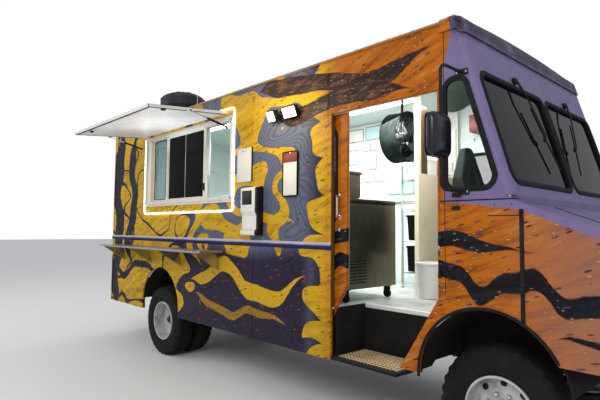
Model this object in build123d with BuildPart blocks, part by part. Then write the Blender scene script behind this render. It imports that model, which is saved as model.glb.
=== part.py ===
from build123d import *
from math import asin, cos, radians, sin, tan
import os

os.makedirs("parts", exist_ok=True)

# Food truck on a step van body. Millimetres. X points forward, Y to the left and Z up.
# The ground is z = 0, and the origin is under the middle of the whole outline.

# Overall layout, along the vehicle from the front axle
wheelbase = 4040
rear_wall_station = -wheelbase - 1412
jamb_station = -1243
door_front_station = -302
seam_station = 223
nose_station = 850
front_bumper_reach = 120
rear_bumper_reach = 165

# Body section
body_width = 2130
wall = 40
skirt_z = 500
deck_top = 890
rail_z = 1369
belt_z = 1709
wall_top = 2830
roof_crown = 2925
roof_edge_radius = 45
roof_sheet = 30
front_slope = 16.5
front_belt_station = 185
front_corner_radius = 55

# Side doors
door_top_z = 2410
door_thickness = 30
door_gap = 5
door_overlap = 20
door_strip = 123
slant_top_z = 1073
slant_run = 300
seat_gap = 0.3

# Wheels
tyre_radius = 400
tyre_width = 215
rim_radius = 216
front_tuck = 260
rear_tuck = 280
front_track = body_width - 2 * front_tuck
rear_track = body_width - 2 * rear_tuck
twin_spacing = 265
arch_radius = 450
arch_z = 585

# Serving window and awning
window_rear_station = -4457
window_front_station = -2575
window_sill_z = 1785
window_top_z = 2610
awning_hinge_z = 2653
awning_hinge_out = 35
awning_depth = 840
awning_sheet = 26
awning_droop = 5
mirror_reach = 360

# Places in the row's frame
front_axle_x = (rear_bumper_reach - rear_wall_station - nose_station - front_bumper_reach) / 2
rear_axle_x = front_axle_x - wheelbase
rear_wall_x = front_axle_x + rear_wall_station
jamb_x = front_axle_x + jamb_station
door_front_x = front_axle_x + door_front_station
seam_x = front_axle_x + seam_station
nose_x = front_axle_x + nose_station
front_belt_x = front_axle_x + front_belt_station
window_rear_x = front_axle_x + window_rear_station
window_front_x = front_axle_x + window_front_station
awning_reach = awning_hinge_out + awning_depth * cos(radians(awning_droop))
centre_y = (awning_reach - mirror_reach) / 2
half_width = body_width / 2
right_y = centre_y - half_width
left_y = centre_y + half_width
slope_run = tan(radians(front_slope))
wheel_z = tyre_radius
door_travel = door_front_x - door_gap - (jamb_x + door_strip)
door_width = door_front_x - door_gap - (jamb_x - door_overlap)


def front_face_x(z):
    # Outer face of the leaning windscreen frame at a height.
    return front_belt_x - (z - belt_z) * slope_run


def side_plane(side):
    # Upright plane on the outer face of the right (-1) or left (1) wall, drawn in X and Z.
    return Plane.XZ.offset(-(centre_y + side * half_width))


def keep(part, name):
    part.label = name
    export_step(part, f"parts/{name}.step")


# Chassis frame: two channel rails and the cross-members between them
chassis_rail_y = 430
chassis_rail_height = 180
chassis_rail_flange = 65
chassis_steel = 8
sill_height = 50
deck_sheet = 40
frame_top_z = deck_top - deck_sheet - sill_height
frame_low_z = frame_top_z - chassis_rail_height
frame_mid_z = frame_top_z - chassis_rail_height / 2
frame_rear_x = rear_wall_x + wall + seat_gap
frame_front_x = nose_x - 30
member_height = 80
member_width = 70
member_z = frame_top_z - chassis_steel - seat_gap - member_height / 2
member_stations = (-5350, -4700, -3400, -2500, -1600, 420, 770)
with BuildPart() as chassis_frame:
    for side in (-1, 1):
        with BuildSketch(Plane.YZ.offset(frame_rear_x)):
            with Locations((centre_y + side * (chassis_rail_y - chassis_rail_flange / 2), frame_mid_z)):
                Rectangle(chassis_rail_flange, chassis_rail_height)
            inner_middle = chassis_rail_y - chassis_steel - chassis_rail_flange / 2
            with Locations((centre_y + side * inner_middle, frame_mid_z)):
                Rectangle(chassis_rail_flange, chassis_rail_height - 2 * chassis_steel, mode=Mode.SUBTRACT)
        extrude(amount=frame_front_x - frame_rear_x)
    member_length = 2 * (chassis_rail_y - chassis_steel - seat_gap)
    for station in member_stations:
        with BuildSketch(Plane.XZ.offset(-(centre_y + member_length / 2))):
            with Locations((front_axle_x + station, member_z)):
                Rectangle(member_width, member_height)
            with Locations((front_axle_x + station, member_z - chassis_steel)):
                Rectangle(member_width - 2 * chassis_steel, member_height, mode=Mode.SUBTRACT)
        extrude(amount=member_length)
keep(chassis_frame.part, "chassis_frame")

# Axles. The front one is a dropped beam, the rear one a housing with its round differential.
kingpin_y = front_track / 2 - 150
kingpin_radius = 18
front_beam_half = kingpin_y - 40
beam_drop = 50
beam_height = 75
beam_width = 70
beam_flange = 18
beam_web = 20
beam_flat = 50
beam_kink = 110
with BuildPart() as front_axle:
    with BuildSketch(Plane.YZ.offset(front_axle_x - beam_width / 2)):
        # columns: distance from the middle, drop below the ends; the same line serves top and bottom
        beam_line = (
            (-front_beam_half, 0),
            (beam_flat - front_beam_half, 0),
            (beam_flat + beam_kink - front_beam_half, beam_drop),
            (front_beam_half - beam_flat - beam_kink, beam_drop),
            (front_beam_half - beam_flat, 0),
            (front_beam_half, 0),
        )
        with BuildLine():
            upper = [(centre_y + y, wheel_z + beam_height / 2 - drop) for y, drop in beam_line]
            lower = [(centre_y + y, wheel_z - beam_height / 2 - drop) for y, drop in reversed(beam_line)]
            Polyline(*upper, *lower, close=True)
        make_face()
    extrude(amount=beam_width)
    for face in front_axle.faces().filter_by(Axis.X):
        web_middle = (face.center().X, centre_y, wheel_z - beam_drop)
        with BuildSketch(Plane(web_middle, x_dir=(0, 1, 0), z_dir=face.normal_at())):
            Rectangle(2 * (front_beam_half - beam_flat - beam_kink), beam_height - 2 * beam_flange)
        extrude(amount=(beam_web - beam_width) / 2, mode=Mode.SUBTRACT)
    # Eyes at both ends, bored for the kingpins
    for side in (-1, 1):
        with BuildSketch(Plane.XY.offset(wheel_z - beam_height / 2)):
            with Locations((front_axle_x, centre_y + side * kingpin_y)):
                Circle(42)
        extrude(amount=beam_height)
        with BuildSketch(Plane.XY.offset(wheel_z - beam_height / 2)):
            with Locations((front_axle_x, centre_y + side * kingpin_y)):
                Circle(kingpin_radius + 0.05)
        extrude(amount=beam_height, mode=Mode.SUBTRACT)
keep(front_axle.part, "front_axle")

rear_tube_radius = 48
pinion_length = 230
rear_stub_radius = 32
rear_tube_half = rear_track / 2 - twin_spacing / 2 - 40
rear_stub_half = rear_track / 2 + twin_spacing / 2 + 20
with BuildPart() as rear_axle:
    with BuildSketch(Plane.XZ.offset(-(centre_y + rear_tube_half))):
        with Locations((rear_axle_x, wheel_z)):
            Circle(rear_tube_radius)
    extrude(amount=2 * rear_tube_half)
    with BuildSketch(Plane.XZ.offset(-(centre_y + rear_stub_half))):
        with Locations((rear_axle_x, wheel_z)):
            Circle(rear_stub_radius)
    extrude(amount=2 * rear_stub_half)
    with Locations((rear_axle_x, centre_y, wheel_z)):
        Sphere(150, rotation=(90, 0, 45))
    with BuildSketch(Plane.YZ.offset(rear_axle_x)):
        with Locations((centre_y, wheel_z)):
            Circle(70)
    extrude(amount=pinion_length)
keep(rear_axle.part, "rear_axle")

# Steering knuckles: a fork round the beam's eye, its kingpin, the stub axle and the steering arm
stub_radius = 30
stub_end = front_track / 2 + 55
fork_gap = 0.4
fork_sheet = 26
steering_arm = 170
for side, name in ((-1, "knuckle_right"), (1, "knuckle_left")):
    pin_y = centre_y + side * kingpin_y
    with BuildPart() as knuckle:
        for z in (wheel_z + beam_height / 2 + fork_gap, wheel_z - beam_height / 2 - fork_gap - fork_sheet):
            with BuildSketch(Plane.XY.offset(z)):
                with Locations((front_axle_x, pin_y)):
                    Circle(42)
                with Locations((front_axle_x, pin_y + side * 35)):
                    Rectangle(70, 70)
            extrude(amount=fork_sheet)
        with BuildSketch(Plane.XY.offset(wheel_z - beam_height / 2 - fork_sheet)):
            with Locations((front_axle_x, pin_y)):
                Circle(kingpin_radius)
        extrude(amount=beam_height + 2 * fork_sheet)
        with Locations((front_axle_x, pin_y + side * 60, wheel_z)):
            Box(70, 24, beam_height + 2 * fork_sheet)
        stub_start = kingpin_y + 60
        with BuildSketch(Plane.XZ.offset(-(centre_y + side * stub_start))):
            with Locations((front_axle_x, wheel_z)):
                Circle(stub_radius)
        extrude(amount=-side * (stub_end - stub_start))
        arm_z = wheel_z - beam_height / 2 - fork_gap - fork_sheet / 2
        with BuildSketch(Plane.YZ.offset(front_axle_x - 30)):
            with Locations((pin_y, arm_z)):
                Rectangle(34, fork_sheet)
        extrude(amount=-(steering_arm - 30))
        with BuildSketch(Plane.XY.offset(arm_z - fork_sheet / 2)):
            with Locations((front_axle_x - steering_arm, pin_y)):
                Circle(24)
        extrude(amount=fork_sheet)
    keep(knuckle.part, name)

# Track rod behind the beam, its eyes under the steering arms
track_rod_radius = 15
track_rod_z = wheel_z - beam_height / 2 - fork_gap - fork_sheet - seat_gap - track_rod_radius
with BuildPart() as track_rod:
    with BuildSketch(Plane.XZ.offset(-(centre_y + kingpin_y))):
        with Locations((front_axle_x - steering_arm, track_rod_z)):
            Circle(track_rod_radius)
    extrude(amount=2 * kingpin_y)
    for side in (-1, 1):
        with BuildSketch(Plane.XY.offset(track_rod_z - track_rod_radius)):
            with Locations((front_axle_x - steering_arm, centre_y + side * kingpin_y)):
                Circle(24)
        extrude(amount=2 * track_rod_radius)
keep(track_rod.part, "track_rod")

# Wheels: each tyre is a ring on a dished steel rim. The rear ones are twins.
bead_width = tyre_width - 45
bore_clearance = 0.05
rim_sheet = 10
rim_lip = 14


def tyre_ring(x, y):
    # One tyre, turned about its axle from half a section with a rounded shoulder and a flat tread.
    with BuildPart() as ring:
        with BuildSketch(Plane.YZ.offset(x)):
            with BuildLine():
                Polyline(
                    (y - bead_width / 2, wheel_z + rim_radius),
                    (y - tyre_width / 2, wheel_z + rim_radius + 75),
                    (y - tyre_width / 2 + 8, wheel_z + tyre_radius - 38),
                    (y - tyre_width / 2 + 34, wheel_z + tyre_radius),
                    (y + tyre_width / 2 - 34, wheel_z + tyre_radius),
                    (y + tyre_width / 2 - 8, wheel_z + tyre_radius - 38),
                    (y + tyre_width / 2, wheel_z + rim_radius + 75),
                    (y + bead_width / 2, wheel_z + rim_radius),
                    close=True,
                )
            make_face()
        revolve(axis=Axis((x, y, wheel_z), (0, 1, 0)))
    return ring.part


def rim_disc(x, y, side, dish, hub_radius, hub_length, bore):
    # One rim: a flanged barrel, a dished disc on the side given, and a hub round the stub.
    with BuildPart() as disc:
        with BuildSketch(Plane.YZ.offset(x)):
            with Locations((y, wheel_z + rim_radius - seat_gap - rim_sheet / 2)):
                Rectangle(bead_width + rim_sheet, rim_sheet)
            for lip in (-1, 1):
                lip_y = y + lip * (bead_width / 2 + rim_sheet / 2 + 3)
                with Locations((lip_y, wheel_z + rim_radius + rim_lip / 2 - rim_sheet)):
                    Rectangle(rim_sheet, rim_lip)
            with BuildLine():
                Polyline(
                    (y + side * dish, wheel_z + bore),
                    (y + side * dish, wheel_z + 0.62 * rim_radius),
                    (y + side * dish * 0.35, wheel_z + rim_radius - rim_sheet / 2),
                    (y + side * (dish * 0.35 - 16), wheel_z + rim_radius - rim_sheet / 2),
                    (y + side * (dish - 14), wheel_z + 0.6 * rim_radius),
                    (y + side * (dish - 14), wheel_z + bore),
                    close=True,
                )
            make_face()
            with Locations((y + side * (dish - 7 + hub_length / 2 - 20), wheel_z + (hub_radius + bore) / 2)):
                Rectangle(hub_length, hub_radius - bore)
        revolve(axis=Axis((x, y, wheel_z), (0, 1, 0)))
    return disc.part


for side, name in ((-1, "right"), (1, "left")):
    wheel_y = centre_y + side * front_track / 2
    with BuildPart() as tyre:
        add(tyre_ring(front_axle_x, wheel_y))
    keep(tyre.part, f"front_tyre_{name}")
    with BuildPart() as rim:
        add(rim_disc(front_axle_x, wheel_y, side, 30, 70, 90, stub_radius + bore_clearance))
    keep(rim.part, f"front_rim_{name}")

for side, name in ((-1, "right"), (1, "left")):
    outer_y = centre_y + side * (rear_track / 2 + twin_spacing / 2)
    inner_y = centre_y + side * (rear_track / 2 - twin_spacing / 2)
    with BuildPart() as tyres:
        add(tyre_ring(rear_axle_x, outer_y))
        add(tyre_ring(rear_axle_x, inner_y))
    keep(tyres.part, f"rear_tyres_{name}")
    with BuildPart() as rims:
        add(rim_disc(rear_axle_x, outer_y, side, -75, 85, 60, rear_stub_radius + bore_clearance))
        add(rim_disc(rear_axle_x, inner_y, side, 75, 85, 60, rear_stub_radius + bore_clearance))
    keep(rims.part, f"rear_rims_{name}")

# Leaf springs: packs of curved leaves under each rail, shackled to it at both ends
leaf_width = 60
leaf_sheet = 10
spring_y = 400
eye_radius = 24
eye_drop = 45
clip_half = 65
# columns: axle x, height of the seat over the axle's middle, half length, leaves
spring_table = (
    (front_axle_x, beam_height / 2 - beam_drop, 560, 5),
    (rear_axle_x, rear_tube_radius, 640, 8),
)
with BuildPart() as leaf_springs:
    for axle_x, seat_height, half_length, leaves in spring_table:
        seat_z = wheel_z + seat_height + seat_gap
        top_z = seat_z + leaves * leaf_sheet
        rise = frame_low_z - eye_drop - top_z
        bend = (half_length**2 + rise**2) / (2 * rise)
        reach_angle = asin(half_length / bend)
        for side in (-1, 1):
            with BuildSketch(Plane.XZ.offset(-(centre_y + side * spring_y + leaf_width / 2))):
                for leaf in range(leaves):
                    top = bend + leaf * leaf_sheet
                    low = top + leaf_sheet
                    angle = reach_angle * (1 - leaf / (leaves + 1))
                    with BuildLine():
                        upper = ThreePointArc(
                            (axle_x - top * sin(angle), top_z + bend - top * cos(angle)),
                            (axle_x, top_z + bend - top),
                            (axle_x + top * sin(angle), top_z + bend - top * cos(angle)),
                        )
                        lower = ThreePointArc(
                            (axle_x - low * sin(angle), top_z + bend - low * cos(angle)),
                            (axle_x, top_z + bend - low),
                            (axle_x + low * sin(angle), top_z + bend - low * cos(angle)),
                        )
                        Line(upper @ 0, lower @ 0)
                        Line(upper @ 1, lower @ 1)
                    make_face()
                for end in (-1, 1):
                    eye_x = axle_x + end * half_length
                    with Locations((eye_x, top_z + rise)):
                        Circle(eye_radius)
                    with Locations((eye_x, (top_z + rise + frame_low_z - seat_gap) / 2)):
                        Rectangle(1.4 * eye_radius, frame_low_z - seat_gap - top_z - rise)
            extrude(amount=leaf_width)
keep(leaf_springs.part, "leaf_springs")

# Engine with its gearbox, one plain block at its real size
engine_length = 620
engine_width = 480
engine_low_z = 560
engine_high_z = 1140
engine_rear_x = front_axle_x - 330
engine_gap = 30
engine_foot = 90
gearbox_length = 620
gearbox_radius = 120
gearbox_z = 660
with BuildPart() as engine:
    with BuildSketch(Plane.XY.offset(engine_low_z)):
        with Locations((engine_rear_x + engine_length / 2, centre_y)):
            RectangleRounded(engine_length, engine_width, 40)
    extrude(amount=engine_high_z - engine_low_z)
    with BuildSketch(Plane.YZ.offset(engine_rear_x)):
        with Locations((centre_y, gearbox_z)):
            Circle(gearbox_radius)
    extrude(amount=-gearbox_length, taper=5)
    # Feet that rest on the lower flanges of the rails
    foot_reach = chassis_rail_y - chassis_steel - door_gap
    with BuildSketch(Plane.XY.offset(frame_low_z + chassis_steel + seat_gap)):
        with Locations((engine_rear_x + engine_length / 2, centre_y)):
            Rectangle(engine_foot, 2 * foot_reach)
    extrude(amount=engine_foot / 2)
keep(engine.part, "engine")

# Propeller shaft, silencer with its pipe, and the fuel tank on the left rail
shaft_radius = 40
shaft_front_x = engine_rear_x - gearbox_length - seat_gap
shaft_rear_x = rear_axle_x + pinion_length + seat_gap
yoke_length = 60
yoke_radius = 52
pipe_radius = 28
pipe_y = centre_y - 260
pipe_z = frame_low_z - 80
pipe_rear_x = jamb_x - 1500
pipe_front_x = engine_rear_x - 15
silencer_rear_x = jamb_x - 900
silencer_length = 620
silencer_strap_stations = (120, 500)
strap_width = 40
strap_sheet = 8
tank_rear_x = jamb_x - 1300
tank_length = 900
tank_width = 420
tank_y = 735
tank_inner_y = tank_y - tank_width / 2
tank_strap_stations = (150, 710)
with BuildPart() as underbody:
    shaft_start = Vector(shaft_front_x - yoke_length / 2, centre_y, gearbox_z)
    shaft_end = Vector(shaft_rear_x + yoke_length / 2, centre_y, wheel_z)
    with BuildSketch(Plane(shaft_end, z_dir=shaft_start - shaft_end)):
        Circle(shaft_radius)
    extrude(amount=(shaft_start - shaft_end).length)
    for yoke_x, yoke_z in ((shaft_front_x - yoke_length, gearbox_z), (shaft_rear_x, wheel_z)):
        with BuildSketch(Plane.YZ.offset(yoke_x)):
            with Locations((centre_y, yoke_z)):
                Circle(yoke_radius)
        extrude(amount=yoke_length)
    with BuildSketch(Plane.YZ.offset(silencer_rear_x)):
        with Locations((pipe_y, pipe_z)):
            SlotOverall(240, 120)
    extrude(amount=silencer_length)
    # Straps from the silencer up to the rail
    strap_y = centre_y - chassis_rail_y + chassis_rail_flange - strap_sheet / 2
    for station in silencer_strap_stations:
        with Locations((silencer_rear_x + station, strap_y, (pipe_z + frame_low_z - seat_gap) / 2)):
            Box(strap_width, strap_sheet, frame_low_z - seat_gap - pipe_z)
    with BuildSketch(Plane.YZ.offset(pipe_rear_x)):
        with Locations((pipe_y, pipe_z)):
            Circle(pipe_radius)
    extrude(amount=pipe_front_x - pipe_rear_x)
    with BuildSketch(Plane.YZ.offset(tank_rear_x)):
        with Locations((centre_y + tank_y, 640)):
            RectangleRounded(tank_width, 300, 70)
    extrude(amount=tank_length)
    for station in tank_strap_stations:
        with BuildSketch(Plane.YZ.offset(tank_rear_x + station)):
            with Locations((centre_y + (chassis_rail_y + seat_gap + tank_inner_y) / 2, frame_mid_z)):
                Rectangle(tank_inner_y - chassis_rail_y - seat_gap, 60)
        extrude(amount=40)
keep(underbody.part, "underbody")

# Deck on its cross sills, with a step well at each side door and a house over each wheel
well_depth = 410
well_tread_z = 525
well_sheet = 20
pocket = wall + 2 * door_gap + door_thickness + 10
deck_front_x = front_belt_x - wall - seat_gap
deck_rear_x = rear_wall_x + wall + seat_gap
sill_width = 60
sill_stations = (-5300, -4620, -3460, -2900, -2000, 60)
slant_low_z = skirt_z + 75
house_sheet = 10
house_low_z = slant_low_z + 50
# columns: axle x, distance from the middle to the inner face of the wheel house
house_table = ((front_axle_x, front_track / 2 - 320), (rear_axle_x, rear_track / 2 - 270))


def door_slant_x(z):
    # Front edge of the doorway, which leans back below a height to clear the wheel.
    return door_front_x - slant_run * max(0, slant_top_z - z) / (slant_top_z - slant_low_z)


def well_space(side, grow, low_z, depth):
    # Space of a step well up to the deck's top, with both ends moved out by an amount.
    with BuildPart() as space:
        inner_y = centre_y + side * (half_width - well_depth - grow)
        with BuildSketch(Plane.XZ.offset(-inner_y)):
            with BuildLine():
                Polyline(
                    (jamb_x - grow, low_z),
                    (door_slant_x(low_z) + grow, low_z),
                    (door_slant_x(deck_top) + grow, deck_top),
                    (jamb_x - grow, deck_top),
                    close=True,
                )
            make_face()
        extrude(amount=-side * depth)
    return space.part


def house_space(side, axle_x, inner, grow):
    # Space of a wheel house out to the wall, open below.
    with BuildPart() as space:
        with BuildSketch(Plane.XZ.offset(-(centre_y + side * (inner - grow)))):
            with Locations((axle_x, arch_z)):
                Circle(arch_radius + grow)
            with Locations((axle_x, house_low_z)):
                Rectangle(3 * arch_radius, 3 * arch_radius, align=(Align.CENTER, Align.MAX), mode=Mode.SUBTRACT)
        extrude(amount=-side * (half_width - wall - seat_gap - inner + grow))
    return space.part


with BuildPart() as floor:
    with BuildSketch(Plane.XY.offset(deck_top - deck_sheet)):
        with Locations(((deck_front_x + deck_rear_x) / 2, centre_y)):
            Rectangle(deck_front_x - deck_rear_x, body_width - 2 * pocket)
    extrude(amount=deck_sheet)
    for station in sill_stations:
        reach = body_width - 2 * (wall + seat_gap)
        if jamb_x - door_width < front_axle_x + station:
            reach = body_width - 2 * pocket
        with BuildSketch(Plane.XY.offset(frame_top_z)):
            with Locations((front_axle_x + station, centre_y)):
                Rectangle(sill_width, reach)
        extrude(amount=sill_height)
    for side in (-1, 1):
        add(well_space(side, well_sheet + seat_gap, well_tread_z - well_sheet, half_width), mode=Mode.SUBTRACT)
        for axle_x, inner in house_table:
            add(house_space(side, axle_x, inner, house_sheet + seat_gap), mode=Mode.SUBTRACT)
    # Opening in the deck for the engine
    with BuildSketch(Plane.XY.offset(frame_top_z)):
        with Locations((engine_rear_x + engine_length / 2, centre_y)):
            Rectangle(engine_length + 2 * engine_gap, engine_width + 2 * engine_gap)
    extrude(amount=sill_height + deck_sheet, mode=Mode.SUBTRACT)
keep(floor.part, "floor")

# Step wells: tread, riser and two ends, with the tread reaching out under the door
with BuildPart() as step_wells:
    for side in (-1, 1):
        add(well_space(side, well_sheet, well_tread_z - well_sheet, well_depth + well_sheet - pocket))
    for side in (-1, 1):
        add(well_space(side, 0, well_tread_z, well_depth), mode=Mode.SUBTRACT)
        with BuildSketch(Plane.XY.offset(well_tread_z - well_sheet)):
            tread_front_x = door_slant_x(well_tread_z)
            with Locations(((jamb_x + tread_front_x) / 2, centre_y + side * (half_width - well_depth / 2))):
                Rectangle(tread_front_x - jamb_x - 2 * seat_gap, well_depth)
        extrude(amount=well_sheet)
keep(step_wells.part, "step_wells")

# Round houses over the wheels, closed on their inner side
with BuildPart() as wheel_houses:
    for side in (-1, 1):
        for axle_x, inner in house_table:
            add(house_space(side, axle_x, inner, house_sheet))
    for side in (-1, 1):
        for axle_x, inner in house_table:
            add(house_space(side, axle_x, inner, 0), mode=Mode.SUBTRACT)
keep(wheel_houses.part, "wheel_houses")

# Rub rail
rail_height = 60
rail_proud = 14

# Awning hinge, gas struts and shelf hinge, whose ears and pivots are part of the right wall
awning_rear_x = window_rear_x - 40
awning_front_x = window_front_x - 65
awning_length = awning_front_x - awning_rear_x
hinge_radius = 8
ear_sheet = 3
ear_width = 40
awning_ears = tuple(awning_rear_x + awning_length * share for share in (0.12, 0.5, 0.88))
strut_radial = 430
strut_drop = 16
strut_side = 22
strut_pin_radius = 5
strut_eye_half = 12
strut_pivot_out = awning_hinge_out + 10
strut_pivot_down = 150
strut_pivot_z = awning_hinge_z - strut_pivot_down
strut_places = (awning_rear_x - strut_side, awning_front_x + strut_side)
strut_ends = tuple(zip(strut_places, (-1, 1)))
shelf_z = 1280
shelf_depth = 300
shelf_sheet = 18
shelf_length = 2438
shelf_front_station = -2690
shelf_front_x = front_axle_x + shelf_front_station
shelf_pin_radius = 6
shelf_hinge_out = rail_proud + shelf_sheet / 2 + 8
shelf_hinge_z = shelf_z - shelf_sheet / 2
shelf_ears = tuple(shelf_front_x - shelf_length * share for share in (0.1, 0.5, 0.9))


def strut_pivot_plate(strut_x, outward):
    # Plate that stands out beside a gas strut's lower eye, with the pivot through the eye.
    plate_x = strut_x + outward * (strut_eye_half + seat_gap)
    with BuildPart() as plate:
        with BuildSketch(Plane.YZ.offset(plate_x)):
            with Locations((right_y - strut_pivot_out / 2, strut_pivot_z)):
                Rectangle(strut_pivot_out, 40)
            with Locations((right_y - strut_pivot_out, strut_pivot_z)):
                Circle(12)
        extrude(amount=outward * 6)
        with BuildSketch(Plane.YZ.offset(plate_x + outward * 6)):
            with Locations((right_y - strut_pivot_out, strut_pivot_z)):
                Circle(strut_pin_radius)
        extrude(amount=-outward * (2 * strut_eye_half + 6))
    return plate.part


# Side walls behind the doors, with the wheel arch, the header over the door and the rub rail
header_front_x = door_front_x
track_z = door_top_z + 35
track_bar = 20
track_rear_x = jamb_x - 900
for side, name in ((-1, "right_wall"), (1, "left_wall")):
    with BuildPart() as side_wall:
        with BuildSketch(side_plane(side)):
            with BuildLine():
                Polyline(
                    (rear_wall_x, skirt_z),
                    (jamb_x, skirt_z),
                    (jamb_x, door_top_z),
                    (header_front_x, door_top_z),
                    (header_front_x, wall_top),
                    (rear_wall_x, wall_top),
                    close=True,
                )
            make_face()
            with Locations((rear_axle_x, arch_z)):
                Circle(arch_radius, mode=Mode.SUBTRACT)
            if side == -1:
                window_middle = ((window_rear_x + window_front_x) / 2, (window_sill_z + window_top_z) / 2)
                with Locations(window_middle):
                    Rectangle(
                        window_front_x - window_rear_x,
                        window_top_z - window_sill_z,
                        mode=Mode.SUBTRACT,
                    )
        extrude(amount=side * wall)
        # Half-round rub rail along the outer face
        with BuildSketch(Plane.YZ.offset(rear_wall_x)):
            with Locations((centre_y + side * half_width, rail_z)):
                Ellipse(rail_proud, rail_height / 2)
            with Locations((centre_y + side * (half_width - wall), rail_z)):
                Rectangle(2 * wall, rail_height, mode=Mode.SUBTRACT)
        extrude(amount=jamb_x - rear_wall_x)
        # Bar on the inner face that carries the sliding door
        with BuildSketch(Plane.YZ.offset(track_rear_x)):
            with Locations((centre_y + side * (half_width - wall - track_bar / 2), track_z + track_bar / 2)):
                Rectangle(track_bar, track_bar)
        extrude(amount=header_front_x - track_rear_x)
        if side == -1:
            # Ears round the awning's barrel and the shelf's pin, and the pivot of the rear gas strut
            for ear_x in awning_ears:
                with BuildSketch(Plane.YZ.offset(ear_x - ear_width / 2)):
                    with Locations((right_y - awning_hinge_out / 2, awning_hinge_z)):
                        Rectangle(awning_hinge_out, 2 * hinge_radius)
                    with Locations((right_y - awning_hinge_out, awning_hinge_z)):
                        Circle(hinge_radius + ear_sheet)
                        Circle(hinge_radius + seat_gap, mode=Mode.SUBTRACT)
                extrude(amount=ear_width)
            for ear_x in shelf_ears:
                with BuildSketch(Plane.YZ.offset(ear_x - ear_width / 2)):
                    with Locations((right_y - shelf_hinge_out / 2, shelf_hinge_z)):
                        Rectangle(shelf_hinge_out, 2 * shelf_pin_radius)
                    with Locations((right_y - shelf_hinge_out, shelf_hinge_z)):
                        Circle(shelf_pin_radius + ear_sheet)
                        Circle(shelf_pin_radius + seat_gap, mode=Mode.SUBTRACT)
                extrude(amount=ear_width)
            add(strut_pivot_plate(*strut_ends[0]))
    keep(side_wall.part, name)

# Rear wall with its doorway and a pad for the number plate
doorway_half = 600
doorway_top = 2420
plate_width = 310
plate_height = 160
plate_pad = 6
plate_out = 830
plate_z = 1010
plate_spacing = 178
plate_hole = 3.5
with BuildPart() as rear_wall:
    with BuildSketch(Plane.YZ.offset(rear_wall_x)):
        with Locations((centre_y, (skirt_z + wall_top) / 2)):
            Rectangle(body_width - 2 * wall, wall_top - skirt_z)
        with Locations((centre_y, (deck_top + doorway_top) / 2)):
            Rectangle(2 * doorway_half, doorway_top - deck_top, mode=Mode.SUBTRACT)
    extrude(amount=wall)
    with BuildSketch(Plane.YZ.offset(rear_wall_x)):
        with Locations((centre_y - plate_out, plate_z)):
            RectangleRounded(plate_width, plate_height, 12)
    extrude(amount=-plate_pad)
    with BuildSketch(Plane.YZ.offset(rear_wall_x - plate_pad)):
        with Locations((centre_y - plate_out, plate_z)):
            with GridLocations(plate_spacing, 0, 2, 1):
                Circle(plate_hole)
    extrude(amount=plate_pad + wall, mode=Mode.SUBTRACT)
keep(rear_wall.part, "rear_wall")

# Rear doors, each hung on its outer edge, with pressed ribs and strap hinges
rear_door_width = doorway_half - 1.5 * door_gap
rear_hinge_out = 16
for side, name in ((-1, "rear_door_right"), (1, "rear_door_left")):
    door_y = centre_y + side * (doorway_half - door_gap - rear_door_width / 2)
    with BuildPart() as rear_door:
        with BuildSketch(Plane.YZ.offset(rear_wall_x)):
            with Locations((door_y, (deck_top + doorway_top) / 2)):
                Rectangle(rear_door_width, doorway_top - deck_top - 2 * door_gap)
        extrude(amount=wall)
        for z in (deck_top + 220, (deck_top + doorway_top) / 2, doorway_top - 220):
            with BuildSketch(Plane.XY.offset(z - 50)):
                with Locations((rear_wall_x - rear_hinge_out, centre_y + side * (doorway_half - 3))):
                    Circle(9)
            extrude(amount=100)
            with BuildSketch(Plane.YZ.offset(rear_wall_x)):
                with Locations((centre_y + side * (doorway_half - 110), z)):
                    Rectangle(220, 46)
            extrude(amount=-(rear_hinge_out - 4))
    keep(rear_door.part, name)

# Roof: a crowned sheet with upright edges, closed by a plate behind and by the cap in front
roof_edge_z = wall_top + roof_edge_radius
cap_depth = 60
cap_radius = 40
roof_bend = (half_width**2 + (roof_crown - roof_edge_z) ** 2) / (2 * (roof_crown - roof_edge_z))


def roof_z(y):
    # Height of the roof's outer face at a place across the vehicle.
    return roof_crown - roof_bend + (roof_bend**2 - (y - centre_y) ** 2) ** 0.5


with BuildPart() as roof:
    with BuildSketch(Plane.YZ.offset(rear_wall_x)):
        with BuildLine():
            Line((left_y, wall_top), (left_y, roof_edge_z))
            ThreePointArc((left_y, roof_edge_z), (centre_y, roof_crown), (right_y, roof_edge_z))
            Line((right_y, roof_edge_z), (right_y, wall_top))
            Line((right_y, wall_top), (left_y, wall_top))
        make_face()
    extrude(amount=front_face_x(wall_top) - rear_wall_x)
    with BuildSketch(Plane.XZ.offset(-left_y)):
        with BuildLine():
            Polyline(
                (front_face_x(wall_top), wall_top),
                (front_face_x(wall_top), roof_crown + 10),
                (front_face_x(roof_crown + 10), roof_crown + 10),
                close=True,
            )
        make_face()
    extrude(amount=body_width, mode=Mode.SUBTRACT)
    crown_edges = roof.faces().sort_by(Axis.Z)[-1].edges().sort_by(Axis.X)[1:]
    fillet(crown_edges, cap_radius)
    with BuildSketch(Plane.YZ.offset(rear_wall_x + wall)):
        with BuildLine():
            inner_edge_z = roof_edge_z - roof_sheet
            Line((left_y - wall, wall_top), (left_y - wall, inner_edge_z))
            ThreePointArc(
                (left_y - wall, inner_edge_z), (centre_y, roof_crown - roof_sheet), (right_y + wall, inner_edge_z)
            )
            Line((right_y + wall, inner_edge_z), (right_y + wall, wall_top))
            Line((right_y + wall, wall_top), (left_y - wall, wall_top))
        make_face()
    extrude(amount=front_face_x(roof_crown) - cap_depth - rear_wall_x - wall, mode=Mode.SUBTRACT)
keep(roof.part, "roof")

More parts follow.
